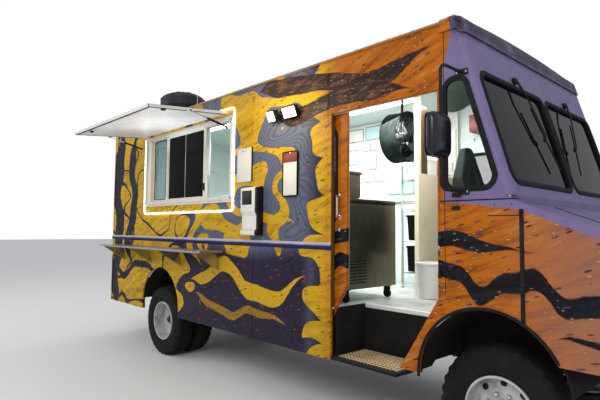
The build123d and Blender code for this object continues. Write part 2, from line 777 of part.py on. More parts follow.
# Cab sides: quarter window, half the front wheel arch, and the slanted edge of the doorway
quarter_rear_station = -250
quarter_low_z = 1760
quarter_high_z = 2460
quarter_radius = 60
quarter_edge = 75
with BuildPart() as cab_sides:
    for side in (-1, 1):
        with BuildSketch(side_plane(side)):
            with BuildLine():
                corner_x = front_face_x(belt_z) - front_corner_radius
                Polyline(
                    (door_front_x - slant_run, slant_low_z),
                    (door_front_x, slant_top_z),
                    (door_front_x, wall_top),
                    (front_face_x(wall_top) - front_corner_radius, wall_top),
                    (corner_x, belt_z),
                    (seam_x, belt_z - 50),
                    (seam_x, slant_low_z),
                    close=True,
                )
            make_face()
            with Locations((front_axle_x, arch_z)):
                Circle(arch_radius, mode=Mode.SUBTRACT)
        extrude(amount=side * wall)
        with BuildSketch(side_plane(side)) as quarter:
            with BuildLine():
                Polyline(
                    (front_axle_x + quarter_rear_station, quarter_low_z),
                    (front_face_x(quarter_low_z) - quarter_edge, quarter_low_z),
                    (front_face_x(quarter_high_z) - quarter_edge, quarter_high_z),
                    (front_axle_x + quarter_rear_station, quarter_high_z),
                    close=True,
                )
            make_face()
            fillet(quarter.vertices(), quarter_radius)
        extrude(amount=side * wall, mode=Mode.SUBTRACT)
keep(cab_sides.part, "cab_sides")

# Leaning windscreen frame with rounded corners, and the bulkhead below it
screen_low_z = 1790
screen_high_z = 2490
screen_side = 62
mullion = 60
screen_radius = 70
lean = Vector(-slope_run, 0, 1)
with BuildPart() as cab_front:
    with BuildSketch(Plane.XY.offset(belt_z)):
        with BuildLine():
            back_x = front_belt_x - front_corner_radius
            Line((back_x, right_y), (back_x, right_y + wall))
            Line((back_x, right_y + wall), (front_belt_x - wall, right_y + wall))
            Line((front_belt_x - wall, right_y + wall), (front_belt_x - wall, left_y - wall))
            Line((front_belt_x - wall, left_y - wall), (back_x, left_y - wall))
            Line((back_x, left_y - wall), (back_x, left_y))
            RadiusArc((back_x, left_y), (front_belt_x, left_y - front_corner_radius), front_corner_radius)
            Line((front_belt_x, left_y - front_corner_radius), (front_belt_x, right_y + front_corner_radius))
            RadiusArc((front_belt_x, right_y + front_corner_radius), (back_x, right_y), front_corner_radius)
        make_face()
    extrude(amount=(wall_top - belt_z) / cos(radians(front_slope)), dir=lean.normalized())
    screen_plane = Plane(
        (front_face_x(screen_low_z), centre_y, screen_low_z), x_dir=(0, 1, 0), z_dir=(1, 0, slope_run)
    )
    pane_height = (screen_high_z - screen_low_z) / cos(radians(front_slope))
    pane_width = half_width - screen_side - mullion / 2
    with BuildSketch(screen_plane):
        for side in (-1, 1):
            with Locations((side * (mullion / 2 + pane_width / 2), pane_height / 2)):
                RectangleRounded(pane_width, pane_height, screen_radius)
    extrude(amount=-3 * wall, both=True, mode=Mode.SUBTRACT)
    # Bulkhead under the screen, down past the deck
    with BuildSketch(Plane.XY.offset(deck_top)):
        with Locations((front_belt_x - wall / 2, centre_y)):
            Rectangle(wall, body_width - 2 * wall)
    extrude(amount=belt_z - deck_top)
    with BuildSketch(Plane.YZ.offset(front_belt_x - 2 * wall)):
        with Locations((centre_y, deck_top)):
            cover_clear_width = engine_width + 2 * engine_gap
            cover_clear_height = 2 * (engine_high_z + engine_gap - deck_top)
            Rectangle(cover_clear_width, cover_clear_height)
    extrude(amount=3 * wall, mode=Mode.SUBTRACT)
    for side in (-1, 1):
        house_inner_y = centre_y + side * (house_table[0][1] - house_sheet - seat_gap)
        with BuildSketch(Plane.XZ.offset(-house_inner_y)):
            with Locations((front_axle_x, arch_z)):
                Circle(arch_radius + house_sheet + seat_gap)
        extrude(amount=-side * half_width, mode=Mode.SUBTRACT)
keep(cab_front.part, "cab_front")

# Glass: two windscreen panes and two quarter panes, let into their openings
glass_sheet = 6
glass_gap = 0.3
with BuildPart() as cab_glass:
    glass_plane = screen_plane.offset(-wall / 2)
    with BuildSketch(glass_plane):
        for side in (-1, 1):
            with Locations((side * (mullion / 2 + pane_width / 2), pane_height / 2)):
                RectangleRounded(
                    pane_width - 2 * glass_gap, pane_height - 2 * glass_gap, screen_radius - glass_gap
                )
    extrude(amount=glass_sheet)
    for side in (-1, 1):
        with BuildSketch(side_plane(side).offset(side * wall / 2)):
            with BuildLine():
                Polyline(
                    (front_axle_x + quarter_rear_station, quarter_low_z),
                    (front_face_x(quarter_low_z) - quarter_edge, quarter_low_z),
                    (front_face_x(quarter_high_z) - quarter_edge, quarter_high_z),
                    (front_axle_x + quarter_rear_station, quarter_high_z),
                    close=True,
                )
            pane = make_face()
            fillet(pane.vertices(), quarter_radius)
            offset(amount=-glass_gap, mode=Mode.REPLACE)
        extrude(amount=side * glass_sheet)
keep(cab_glass.part, "cab_glass")

# Nose: a hollow snub front with flush fenders, open below and behind
nose_low_z = 787
nose_front_top_z = 1420
cowl_z = belt_z - 50
nose_sheet = 25
nose_corner = 170
hood_half = half_width - 420
hood_sheet = 25
hood_gap = 5
hood_rear_x = seam_x + 20
hood_front_x = nose_x - 120
shoulder_slope = (cowl_z - nose_front_top_z) / (nose_x - seam_x)
grille_half = half_width - 620
grille_low_z = 930
grille_high_z = 1270
headlamp_y = half_width - 320
headlamp_z = 1110
headlamp_radius = 95


def nose_block(inset):
    # The nose as a full block, each face moved in by the inset, with rounded front corners.
    with BuildPart() as block:
        with BuildSketch(Plane.XZ.offset(-(left_y - inset))):
            with BuildLine():
                Polyline(
                    (seam_x, nose_low_z),
                    (nose_x - inset, nose_low_z),
                    (nose_x - inset, nose_front_top_z - inset),
                    (seam_x, cowl_z - inset),
                    close=True,
                )
            make_face()
        extrude(amount=body_width - 2 * inset)
        fillet(block.edges().filter_by(Axis.Z).group_by(Axis.X)[-1], nose_corner - inset)
    return block.part


# Hinges at the rear edge of the hood: barrels on the hood between ears on the cowl
hood_barrel = 80
hood_barrel_radius = 10
hood_pin_radius = 5
hood_ear = 14
hood_ear_radius = 8
hood_hinge_places = (centre_y - 500, centre_y + 500)
hood_rear_gap = 12
hood_hinge_x = hood_rear_x + hood_rear_gap + 6
hood_hinge_z = cowl_z - (hood_hinge_x - seam_x) * shoulder_slope - hood_barrel_radius

with BuildPart() as nose:
    add(nose_block(0))
    add(nose_block(nose_sheet), mode=Mode.SUBTRACT)
    for side in (-1, 1):
        with BuildSketch(side_plane(side)):
            with Locations((front_axle_x, arch_z)):
                Circle(arch_radius)
        extrude(amount=side * nose_sheet, mode=Mode.SUBTRACT)
    with BuildSketch(Plane.XY.offset(nose_front_top_z - 100)):
        with Locations(((hood_rear_x + hood_front_x) / 2, centre_y)):
            Rectangle(hood_front_x - hood_rear_x, 2 * hood_half)
    extrude(amount=400, mode=Mode.SUBTRACT)
    for hinge_y in hood_hinge_places:
        for edge in (-1, 1):
            ear_y = hinge_y + edge * (hood_barrel / 2 + seat_gap + hood_ear / 2)
            with Locations((((hood_rear_x - 10 + hood_hinge_x) / 2), ear_y, hood_hinge_z)):
                Box(hood_hinge_x - hood_rear_x + 10, hood_ear - seat_gap, 2 * hood_pin_radius)
            with BuildSketch(Plane.XZ.offset(-(ear_y + (hood_ear - seat_gap) / 2))):
                with Locations((hood_hinge_x, hood_hinge_z)):
                    Circle(hood_ear_radius)
            extrude(amount=hood_ear - seat_gap)
        with BuildSketch(Plane.XZ.offset(-(hinge_y + hood_barrel / 2 + hood_ear))):
            with Locations((hood_hinge_x, hood_hinge_z)):
                Circle(hood_pin_radius)
        extrude(amount=hood_barrel + 2 * hood_ear)
    with BuildSketch(Plane.YZ.offset(nose_x - 2 * nose_sheet)):
        with Locations((centre_y, (grille_low_z + grille_high_z) / 2)):
            Rectangle(2 * grille_half, grille_high_z - grille_low_z)
        with Locations((centre_y - headlamp_y, headlamp_z), (centre_y + headlamp_y, headlamp_z)):
            Circle(headlamp_radius)
    extrude(amount=3 * nose_sheet, mode=Mode.SUBTRACT)
keep(nose.part, "nose")

# Hood: the sloping lid between the fenders, hinged at the cowl
with BuildPart() as hood:
    with BuildSketch(Plane.XZ.offset(-(centre_y + hood_half - hood_gap))):
        with BuildLine():
            rear_x = hood_rear_x + hood_rear_gap
            front_x = hood_front_x - hood_gap
            rear_z = cowl_z - (rear_x - seam_x) * shoulder_slope
            front_z = cowl_z - (front_x - seam_x) * shoulder_slope
            Polyline(
                (rear_x, rear_z),
                (front_x, front_z),
                (front_x, front_z - hood_sheet),
                (rear_x, rear_z - hood_sheet),
                close=True,
            )
        make_face()
    extrude(amount=2 * (hood_half - hood_gap))
    for hinge_y in hood_hinge_places:
        with BuildSketch(Plane.XZ.offset(-(hinge_y + hood_barrel / 2))):
            with Locations((hood_hinge_x, hood_hinge_z)):
                Circle(hood_barrel_radius)
        extrude(amount=hood_barrel)
        with BuildSketch(Plane.XZ.offset(-(hinge_y + hood_barrel / 2))):
            with Locations((hood_hinge_x, hood_hinge_z)):
                Circle(hood_pin_radius + 0.1)
        extrude(amount=hood_barrel, mode=Mode.SUBTRACT)
        # Notches that leave room for the ears beside each barrel
        for edge in (-1, 1):
            with BuildSketch(Plane.XY.offset(hood_hinge_z - 60)):
                with Locations((rear_x, hinge_y + edge * (hood_barrel / 2 + hood_ear / 2 + hood_gap / 2))):
                    Rectangle(2 * (hood_hinge_x - rear_x + hood_ear_radius + hood_gap), hood_ear + hood_gap)
            extrude(amount=120, mode=Mode.SUBTRACT)
keep(hood.part, "hood")

# Grille: a frame with bars across it
bar_count = 7
bar_height = 22
with BuildPart() as grille:
    with BuildSketch(Plane.YZ.offset(nose_x - nose_sheet)):
        with Locations((centre_y, (grille_low_z + grille_high_z) / 2)):
            Rectangle(2 * (grille_half - seat_gap), grille_high_z - grille_low_z - 2 * seat_gap)
            Rectangle(2 * (grille_half - 30), grille_high_z - grille_low_z - 60, mode=Mode.SUBTRACT)
            with GridLocations(0, (grille_high_z - grille_low_z - 60) / (bar_count + 1), 1, bar_count):
                Rectangle(2 * (grille_half - 25), bar_height)
            with GridLocations(2 * grille_half / 3, 0, 2, 1):
                Rectangle(20, grille_high_z - grille_low_z - 40)
    extrude(amount=nose_sheet)
keep(grille.part, "grille")

# Lamps: headlamps, front markers, roof markers and tail lamps
marker_length = 100
marker_depth = 44
marker_rise = 34
marker_places = (-950, -165, 0, 165, 950)
with BuildPart() as lamps:
    for side in (-1, 1):
        with BuildSketch(Plane.YZ.offset(nose_x - nose_sheet - 30)):
            with Locations((centre_y + side * headlamp_y, headlamp_z)):
                Circle(headlamp_radius - seat_gap)
        extrude(amount=nose_sheet + 36)
        with BuildSketch(Plane.YZ.offset(rear_wall_x - seat_gap)):
            with Locations((centre_y + side * (half_width - 130), 760)):
                RectangleRounded(110, 190, 25)
        extrude(amount=-28)
        with BuildSketch(Plane.YZ.offset(nose_x + seat_gap)):
            with Locations((centre_y + side * headlamp_y, headlamp_z - 190)):
                SlotOverall(150, 60)
        extrude(amount=26)
    # Domed markers along the front edge of the roof, sunk where the roof curves down
    for marker_y in marker_places:
        inner_end = max(0, abs(marker_y) - marker_length / 2)
        marker_z = roof_z(centre_y + inner_end) + seat_gap
        marker_x = front_face_x(roof_crown) - cap_radius - marker_depth / 2
        with BuildSketch(Plane.XY.offset(marker_z)):
            with Locations((marker_x, centre_y + marker_y)):
                Ellipse(marker_depth / 2, marker_length / 2)
        extrude(amount=marker_rise, taper=25)
keep(lamps.part, "lamps")

# Bumpers: a channel in front, and a step with a plate and a ball hole behind
bumper_low_z = 520
bumper_height = 150
bumper_depth = 80
bumper_width = body_width - 160
bumper_sheet = 8
hitch_radius = 12.5
hitch_plate = 20
with BuildPart() as bumpers:
    with BuildSketch(Plane.XY.offset(bumper_low_z)):
        with Locations((nose_x + front_bumper_reach, centre_y)):
            Rectangle(bumper_depth, bumper_width, align=(Align.MAX, Align.CENTER))
    extrude(amount=bumper_height)
    fillet(bumpers.edges().filter_by(Axis.Z).group_by(Axis.X)[-1], 30)
    with BuildSketch(Plane.XY.offset(bumper_low_z + bumper_sheet)):
        with Locations((nose_x + front_bumper_reach - bumper_sheet, centre_y)):
            Rectangle(bumper_depth, bumper_width - 80, align=(Align.MAX, Align.CENTER))
    extrude(amount=bumper_height - 2 * bumper_sheet, mode=Mode.SUBTRACT)
    bracket_rear_x = frame_front_x + seat_gap
    bracket_front_x = nose_x + front_bumper_reach - bumper_sheet
    for side in (-1, 1):
        with Locations(
            (
                (bracket_rear_x + bracket_front_x) / 2,
                centre_y + side * (chassis_rail_y - 30),
                frame_low_z + 10,
            )
        ):
            Box(bracket_front_x - bracket_rear_x, 30, 60)
    with BuildSketch(Plane.XY.offset(skirt_z)):
        with Locations((rear_wall_x - seat_gap - rear_bumper_reach / 2, centre_y)):
            Rectangle(rear_bumper_reach - seat_gap, body_width - 300)
    extrude(amount=70)
    with BuildSketch(Plane.XY.offset(skirt_z)):
        with Locations((rear_wall_x - rear_bumper_reach / 2, centre_y)):
            Circle(hitch_radius)
    extrude(amount=70, mode=Mode.SUBTRACT)
keep(bumpers.part, "bumpers")

# Sliding doors, hung on the bars inside the walls. The right one is open, the left one shut.
door_low_z = well_tread_z + 20
door_window_low_z = 1560
door_window_high_z = 2300
door_window_edge = 110
handle_z = 1680
handle_length = 180
slant_low_x = door_front_x - door_slant_x(door_low_z)
for side, name, shift in ((-1, "right_door", door_travel), (1, "left_door", 0)):
    front_x = door_front_x - door_gap - shift
    rear_x = front_x - door_width
    outer = side * (half_width - wall - door_gap)
    with BuildPart() as door:
        with BuildSketch(Plane.XZ.offset(-(centre_y + outer))):
            with BuildLine():
                Polyline(
                    (rear_x, door_low_z),
                    (front_x - slant_low_x, door_low_z),
                    (front_x, slant_top_z),
                    (front_x, track_z - door_gap),
                    (rear_x, track_z - door_gap),
                    close=True,
                )
            make_face()
            with Locations(((rear_x + front_x) / 2, (door_window_low_z + door_window_high_z) / 2)):
                RectangleRounded(
                    door_width - 2 * door_window_edge,
                    door_window_high_z - door_window_low_z,
                    60,
                    mode=Mode.SUBTRACT,
                )
        extrude(amount=side * door_thickness)
        # Hangers that hook over the bar
        hook_low_z = track_z + track_bar + seat_gap
        for hook_x in (rear_x + 120, front_x - 120):
            hook_y = centre_y + side * (half_width - wall - track_bar - 3 - 5)
            with Locations((hook_x, hook_y, (track_z - door_gap - 20 + hook_low_z + 10) / 2)):
                Box(60, 10, hook_low_z + 10 - (track_z - door_gap - 20))
            lip_y = centre_y + side * (half_width - wall - 3 - (track_bar + 10) / 2)
            with Locations((hook_x, lip_y, hook_low_z + 5)):
                Box(60, track_bar + 10, 10)
        # Upright grab handle on the leading edge
        handle_x = front_x - 75
        with Locations((handle_x, centre_y + side * (half_width - wall / 2), handle_z)):
            Box(22, 12, handle_length)
        for z in (handle_z - handle_length / 2 + 10, handle_z + handle_length / 2 - 10):
            with Locations((handle_x, centre_y + side * (half_width - (wall + door_gap) / 2 - 8), z)):
                Box(22, wall + door_gap - 8, 14)
    keep(door.part, name)
    with BuildPart() as door_glass:
        with BuildSketch(Plane.XZ.offset(-(centre_y + outer - side * (door_thickness - glass_sheet) / 2))):
            with Locations(((rear_x + front_x) / 2, (door_window_low_z + door_window_high_z) / 2)):
                RectangleRounded(
                    door_width - 2 * door_window_edge - 2 * glass_gap,
                    door_window_high_z - door_window_low_z - 2 * glass_gap,
                    60 - glass_gap,
                )
        extrude(amount=side * glass_sheet)
    keep(door_glass.part, f"{name}_glass")

# Serving window: a frame round the opening with two upright bars
frame_bar = 32
frame_proud = 12
bar_stations = (-3900, -3075)
stile_station = -4245
with BuildPart() as serving_frame:
    window_length = window_front_x - window_rear_x - 2 * seat_gap
    window_height = window_top_z - window_sill_z - 2 * seat_gap
    with BuildSketch(side_plane(-1).offset(frame_proud)):
        with Locations(window_middle):
            Rectangle(window_length, window_height)
            Rectangle(window_length - 2 * frame_bar, window_height - 2 * frame_bar, mode=Mode.SUBTRACT)
        for station in bar_stations:
            with Locations((front_axle_x + station, window_middle[1])):
                Rectangle(frame_bar, window_height)
    extrude(amount=-(frame_proud + wall))
    # Wide stile between the frame and the pane
    stile_front_x = front_axle_x + stile_station
    with BuildSketch(side_plane(-1)):
        with Locations(((window_rear_x + seat_gap + stile_front_x) / 2, window_middle[1])):
            Rectangle(stile_front_x - window_rear_x - seat_gap, window_height)
    extrude(amount=-wall)
    add(strut_pivot_plate(*strut_ends[1]))
keep(serving_frame.part, "serving_frame")

# Fixed pane behind the first bar and the menu board in the middle bay
with BuildPart() as serving_pane:
    pane_rear_x = stile_front_x
    pane_front_x = front_axle_x + bar_stations[0] - frame_bar / 2
    with BuildSketch(side_plane(-1).offset(-wall / 2)):
        with Locations(((pane_rear_x + pane_front_x) / 2, window_middle[1])):
            Rectangle(pane_front_x - pane_rear_x - 2 * glass_gap, window_height - 2 * frame_bar - 2 * glass_gap)
    extrude(amount=glass_sheet)
keep(serving_pane.part, "serving_pane")

with BuildPart() as menu_board:
    board_rear_x = front_axle_x + bar_stations[0] + frame_bar / 2
    board_front_x = front_axle_x + bar_stations[1] - frame_bar / 2
    with BuildSketch(side_plane(-1)):
        with Locations(((board_rear_x + board_front_x) / 2, window_middle[1])):
            Rectangle(board_front_x - board_rear_x - 2 * glass_gap, window_height - 2 * frame_bar - 2 * glass_gap)
    extrude(amount=-18)
keep(menu_board.part, "menu_board")

# Rope light clipped round the serving window
rope_radius = 8
rope_out = 12
rope_margin = 20
with BuildPart() as light_rope:
    rope_y = right_y - rope_radius - seat_gap
    rope_rear_x = window_rear_x - rope_margin
    rope_front_x = window_front_x + rope_margin
    rope_low_z = window_sill_z - 110
    rope_low_end_z = awning_hinge_z - 45
    rope_high_z = awning_hinge_z + 47
    with BuildLine() as rope_path:
        FilletPolyline(
            (rope_rear_x, rope_y, rope_low_end_z),
            (rope_rear_x, rope_y, rope_low_z),
            (rope_front_x, rope_y, rope_low_z),
            (rope_front_x, rope_y, rope_high_z),
            (rope_rear_x + 60, rope_y, rope_high_z),
            radius=40,
        )
    with BuildSketch(Plane(rope_path.line @ 0, z_dir=rope_path.line % 0)):
        Circle(rope_radius)
    sweep()
keep(light_rope.part, "light_rope")

# Awning: a framed panel over the serving window, raised and drooping a little outward
awning_rim = 14
awning_rim_width = 45
awning_root = 14
hinge_point = Vector((awning_rear_x + awning_front_x) / 2, right_y - awning_hinge_out, awning_hinge_z)
awning_out = Vector(0, -cos(radians(awning_droop)), -sin(radians(awning_droop)))
awning_up = Vector(0, -sin(radians(awning_droop)), cos(radians(awning_droop)))
awning_plane = Plane(hinge_point, x_dir=(1, 0, 0), z_dir=awning_up)
strut_rod_radius = 5
strut_tube_radius = 11
leaf_low = 6
awning_tab = 6
rod_eye_half = 7
strut_bore_start = 18
strut_rod_start = 205
strut_end = hinge_point + awning_out * strut_radial - awning_up * strut_drop
with BuildPart() as awning:
    panel_middle = (0, -(awning_depth + awning_root) / 2)
    with BuildSketch(awning_plane):
        with Locations(panel_middle):
            RectangleRounded(awning_length, awning_depth - awning_root, 12)
    extrude(amount=awning_sheet / 2, both=True)
    with BuildSketch(awning_plane.offset(-awning_sheet / 2)):
        with Locations(panel_middle):
            inner_depth = awning_depth - awning_root - 2 * awning_rim_width
            RectangleRounded(awning_length - 2 * awning_rim_width, inner_depth, 12)
    extrude(amount=awning_rim, mode=Mode.SUBTRACT)
    with BuildSketch(Plane.YZ.offset(awning_rear_x)):
        with Locations((hinge_point.Y, hinge_point.Z)):
            Circle(hinge_radius)
    extrude(amount=awning_length)
    # Hinge leaf from the barrel to the panel, cut away at the ears
    with BuildSketch(awning_plane.offset(-leaf_low / 2)):
        with Locations((0, -awning_root)):
            Rectangle(awning_length, 2 * awning_root - 4)
        for ear_x in awning_ears:
            with Locations((ear_x - hinge_point.X, -awning_root)):
                Rectangle(ear_width + 2 * door_gap, 2 * awning_root, mode=Mode.SUBTRACT)
    extrude(amount=leaf_low)
    # Tabs under both ends with the studs that the strut rods end beside
    for strut_x, outward in strut_ends:
        end_x = outward * awning_length / 2
        with BuildSketch(awning_plane.offset(-strut_drop - 12)):
            with Locations((end_x - outward * awning_tab / 2, -strut_radial)):
                Rectangle(awning_tab, 40)
        extrude(amount=strut_drop + 12)
        with BuildSketch(Plane.YZ.offset(hinge_point.X + end_x - outward * awning_tab)):
            with Locations((strut_end.Y, strut_end.Z)):
                Circle(strut_pin_radius)
        extrude(amount=outward * (awning_tab + strut_side - rod_eye_half - seat_gap))
keep(awning.part, "awning")

# Gas struts at both ends of the awning: tubes on the wall, rods towards the awning
strut_pivot = Vector(0, right_y - strut_pivot_out, strut_pivot_z)
strut_line = Vector(0, strut_end.Y - strut_pivot.Y, strut_end.Z - strut_pivot.Z)
strut_length = strut_line.length
strut_way = strut_line.normalized()
strut_tube_length = 0.56 * strut_length
with BuildPart() as strut_tubes:
    for strut_x in strut_places:
        tube_start = Vector(strut_x, strut_pivot.Y, strut_pivot.Z)
        with BuildSketch(Plane(tube_start, x_dir=(1, 0, 0), z_dir=strut_way)):
            Circle(strut_tube_radius)
        extrude(amount=strut_tube_length)
        with BuildSketch(Plane.YZ.offset(strut_x - strut_eye_half)):
            with Locations((strut_pivot.Y, strut_pivot.Z)):
                Circle(14)
        extrude(amount=2 * strut_eye_half)
        with BuildSketch(Plane.YZ.offset(strut_x - strut_eye_half)):
            with Locations((strut_pivot.Y, strut_pivot.Z)):
                Circle(strut_pin_radius + 0.1)
        extrude(amount=2 * strut_eye_half, mode=Mode.SUBTRACT)
        with BuildSketch(Plane(tube_start + strut_way * strut_bore_start, x_dir=(1, 0, 0), z_dir=strut_way)):
            Circle(strut_rod_radius + 0.1)
        extrude(amount=strut_tube_length, mode=Mode.SUBTRACT)
keep(strut_tubes.part, "strut_tubes")

with BuildPart() as strut_rods:
    for strut_x in strut_places:
        rod_end = Vector(strut_x, strut_end.Y, strut_end.Z)
        with BuildSketch(Plane(rod_end, x_dir=(1, 0, 0), z_dir=strut_way)):
            Circle(strut_rod_radius)
        extrude(amount=-(strut_length - strut_rod_start))
        with BuildSketch(Plane.YZ.offset(strut_x - rod_eye_half)):
            with Locations((strut_end.Y, strut_end.Z)):
                Circle(12)
        extrude(amount=2 * rod_eye_half)
keep(strut_rods.part, "strut_rods")

# Shelf under the window: a thin tray on heel brackets, hinged to tip up against the wall
gusset_height = 190
gusset_reach = 270
gusset_sheet = 8
gusset_shares = (0.04, 0.35, 0.65, 0.96)
with BuildPart() as shelf:
    shelf_middle_x = shelf_front_x - shelf_length / 2
    shelf_hinge_y = right_y - shelf_hinge_out
    with BuildSketch(Plane.XY.offset(shelf_z - shelf_sheet)):
        with Locations((shelf_middle_x, shelf_hinge_y - shelf_depth / 2)):
            Rectangle(shelf_length, shelf_depth)
        for ear_x in shelf_ears:
            with Locations((ear_x, shelf_hinge_y)):
                Rectangle(ear_width + 2 * door_gap, 2 * (shelf_pin_radius + ear_sheet + door_gap), mode=Mode.SUBTRACT)
    extrude(amount=shelf_sheet)
    fillet(shelf.edges().filter_by(Axis.Z).sort_by(Axis.Y)[:2], 60)
    with BuildSketch(Plane.YZ.offset(shelf_front_x - shelf_length)):
        with Locations((shelf_hinge_y, shelf_hinge_z)):
            Circle(shelf_pin_radius)
    extrude(amount=shelf_length)
    for share in gusset_shares:
        with BuildSketch(Plane.YZ.offset(shelf_front_x - shelf_length * share - gusset_sheet / 2)):
            with BuildLine():
                heel_y = right_y - seat_gap
                gusset_top_z = shelf_z - shelf_sheet
                Polyline(
                    (shelf_hinge_y, gusset_top_z),
                    (shelf_hinge_y - gusset_reach, gusset_top_z),
                    (heel_y, gusset_top_z - gusset_height),
                    (heel_y, gusset_top_z - gusset_height + 60),
                    close=True,
                )
            make_face()
        extrude(amount=gusset_sheet)
keep(shelf.part, "shelf")

# Boards and boxes on the right wall: notice board, small sign, dispenser and twin floodlight
with BuildPart() as wall_fittings:
    fitting_y = right_y - seat_gap
    # columns: station, width, low z, high z, depth
    for station, width, low_z, high_z, depth in (
        (-1717, 190, 1780, 2165, 14),
        (-2375, 235, 1945, 2270, 14),
        (-2212, 256, 1440, 1893, 80),
        (-1790, 190, 2440, 2560, 60),
    ):
        with Locations((front_axle_x + station, fitting_y - depth / 2, (low_z + high_z) / 2)):
            Box(width, depth, high_z - low_z)
keep(wall_fittings.part, "wall_fittings")

# Mirrors: an upright tube on two arms, with its head
mirror_arm_station = -130
mirror_head_z = 2060
mirror_head_width = 215
mirror_head_height = 260
mirror_top_z = 2500
mirror_low_z = 1730
mirror_tube_out = 250
with BuildPart() as mirrors:
    for side in (-1, 1):
        outer_y = centre_y + side * (half_width + mirror_tube_out)
        wall_y = centre_y + side * (half_width + seat_gap)
        with BuildSketch(Plane.XY.offset(mirror_low_z)):
            with Locations((front_axle_x + mirror_arm_station, outer_y)):
                Circle(11)
        extrude(amount=mirror_top_z - mirror_low_z)
        for z in (mirror_low_z + 11, mirror_top_z - 11):
            with BuildSketch(Plane.XZ.offset(-wall_y)):
                with Locations((front_axle_x + mirror_arm_station, z)):
                    Circle(10)
            extrude(amount=-side * mirror_tube_out)
        with BuildSketch(Plane.YZ.offset(front_axle_x + mirror_arm_station - 40)):
            head_y = centre_y + side * (half_width + mirror_reach - mirror_head_width / 2)
            with Locations((head_y, mirror_head_z)):
                RectangleRounded(mirror_head_width, mirror_head_height, 40)
        extrude(amount=60)
keep(mirrors.part, "mirrors")

# Roof fan: a square curb seated on the crowned roof, with a round base and dome
fan_station = -4650
fan_y = right_y + 600
fan_x = front_axle_x + fan_station
curb_half = 270
curb_height = 145
fan_base_radius = 370
fan_base_height = 70
dome_radius = 310
dome_rise = 110
dome_side = 148
with BuildPart() as roof_fan:
    curb_top_z = roof_z(fan_y) + curb_height
    with BuildSketch(Plane.YZ.offset(fan_x - curb_half)):
        with BuildLine():
            low, middle, high = (
                (y, roof_z(y) + seat_gap) for y in (fan_y - curb_half, fan_y, fan_y + curb_half)
            )
            ThreePointArc(low, middle, high)
            Line(high, (fan_y + curb_half, curb_top_z))
            Line((fan_y + curb_half, curb_top_z), (fan_y - curb_half, curb_top_z))
            Line((fan_y - curb_half, curb_top_z), low)
        make_face()
    extrude(amount=2 * curb_half)
    with BuildSketch(Plane.XZ.offset(-fan_y)):
        with BuildLine():
            dome_low_z = curb_top_z + fan_base_height
            shoulder_z = dome_low_z + dome_side
            fan_top = shoulder_z + dome_rise
            cap_bend = (dome_radius**2 + dome_rise**2) / (2 * dome_rise)
            half_z = fan_top - cap_bend + (cap_bend**2 - (dome_radius / 2) ** 2) ** 0.5
            Line((fan_x, curb_top_z), (fan_x + fan_base_radius - 40, curb_top_z))
            Line((fan_x + fan_base_radius - 40, curb_top_z), (fan_x + fan_base_radius, dome_low_z))
            Line((fan_x + fan_base_radius, dome_low_z), (fan_x + dome_radius, dome_low_z + 15))
            Line((fan_x + dome_radius, dome_low_z + 15), (fan_x + dome_radius, shoulder_z))
            ThreePointArc((fan_x + dome_radius, shoulder_z), (fan_x + dome_radius / 2, half_z), (fan_x, fan_top))
            Line((fan_x, fan_top), (fan_x, curb_top_z))
        make_face()
    revolve(axis=Axis((fan_x, fan_y, 0), (0, 0, 1)))
keep(roof_fan.part, "roof_fan")

# Seat, dash with the engine cover and the steering wheel
seat_x = front_axle_x - 716
seat_y = centre_y + 490
seat_width = 500
seat_base = 480
seat_shoulder = 1000
seat_back_top = 1420
with BuildPart() as seat:
    # Pedestal, cushion and back, all rounded
    with BuildSketch(Plane.XY.offset(deck_top + seat_gap)):
        with Locations((seat_x, seat_y)):
            RectangleRounded(320, 300, 30)
    extrude(amount=seat_base)
    with BuildSketch(Plane.XY.offset(deck_top + seat_base)):
        with Locations((seat_x, seat_y)):
            RectangleRounded(500, seat_width, 80)
    extrude(amount=120)
    fillet(seat.faces().sort_by(Axis.Z)[-1].edges(), 40)
    with BuildSketch(Plane.YZ.offset(seat_x - 270)) as seat_back:
        with BuildLine():
            Polyline(
                (seat_y - seat_width / 2, deck_top + seat_base),
                (seat_y - seat_width / 2, deck_top + seat_shoulder),
                (seat_y - 80, deck_top + seat_back_top),
                (seat_y + 80, deck_top + seat_back_top),
                (seat_y + seat_width / 2, deck_top + seat_shoulder),
                (seat_y + seat_width / 2, deck_top + seat_base),
                close=True,
            )
        make_face()
        fillet(seat_back.vertices(), 60)
    extrude(amount=120)
keep(seat.part, "seat")

dash_depth = 230
cover_sheet = 20
with BuildPart() as dash:
    dash_front_x = front_belt_x - wall - seat_gap
    with Locations((dash_front_x - dash_depth / 2, centre_y, belt_z - 130)):
        Box(dash_depth, body_width - 2 * pocket, 200)
    cover_rear_x = engine_rear_x - engine_gap - cover_sheet
    cover_top_z = engine_high_z + engine_gap + cover_sheet
    cover_middle_x = (dash_front_x + cover_rear_x) / 2
    cover_width = engine_width + 2 * engine_gap + 2 * cover_sheet
    with Locations((cover_middle_x, centre_y, (deck_top + seat_gap + cover_top_z) / 2)):
        Box(dash_front_x - cover_rear_x, cover_width, cover_top_z - deck_top - seat_gap)
    with Locations((cover_middle_x + cover_sheet, centre_y, (deck_top + cover_top_z) / 2 - cover_sheet)):
        Box(
            dash_front_x - cover_rear_x,
            cover_width - 2 * cover_sheet,
            cover_top_z - deck_top,
            mode=Mode.SUBTRACT,
        )
    with BuildSketch(Plane((dash_front_x - 260, seat_y, 1700), z_dir=(-1, 0, 1))):
        Circle(225)
        Circle(200, mode=Mode.SUBTRACT)
        Rectangle(420, 30)
        Circle(50)
    extrude(amount=25)
    with BuildSketch(Plane((dash_front_x - 260, seat_y, 1700), z_dir=(-1, 0, 1))):
        Circle(22)
    extrude(amount=-200)
keep(dash.part, "dash")

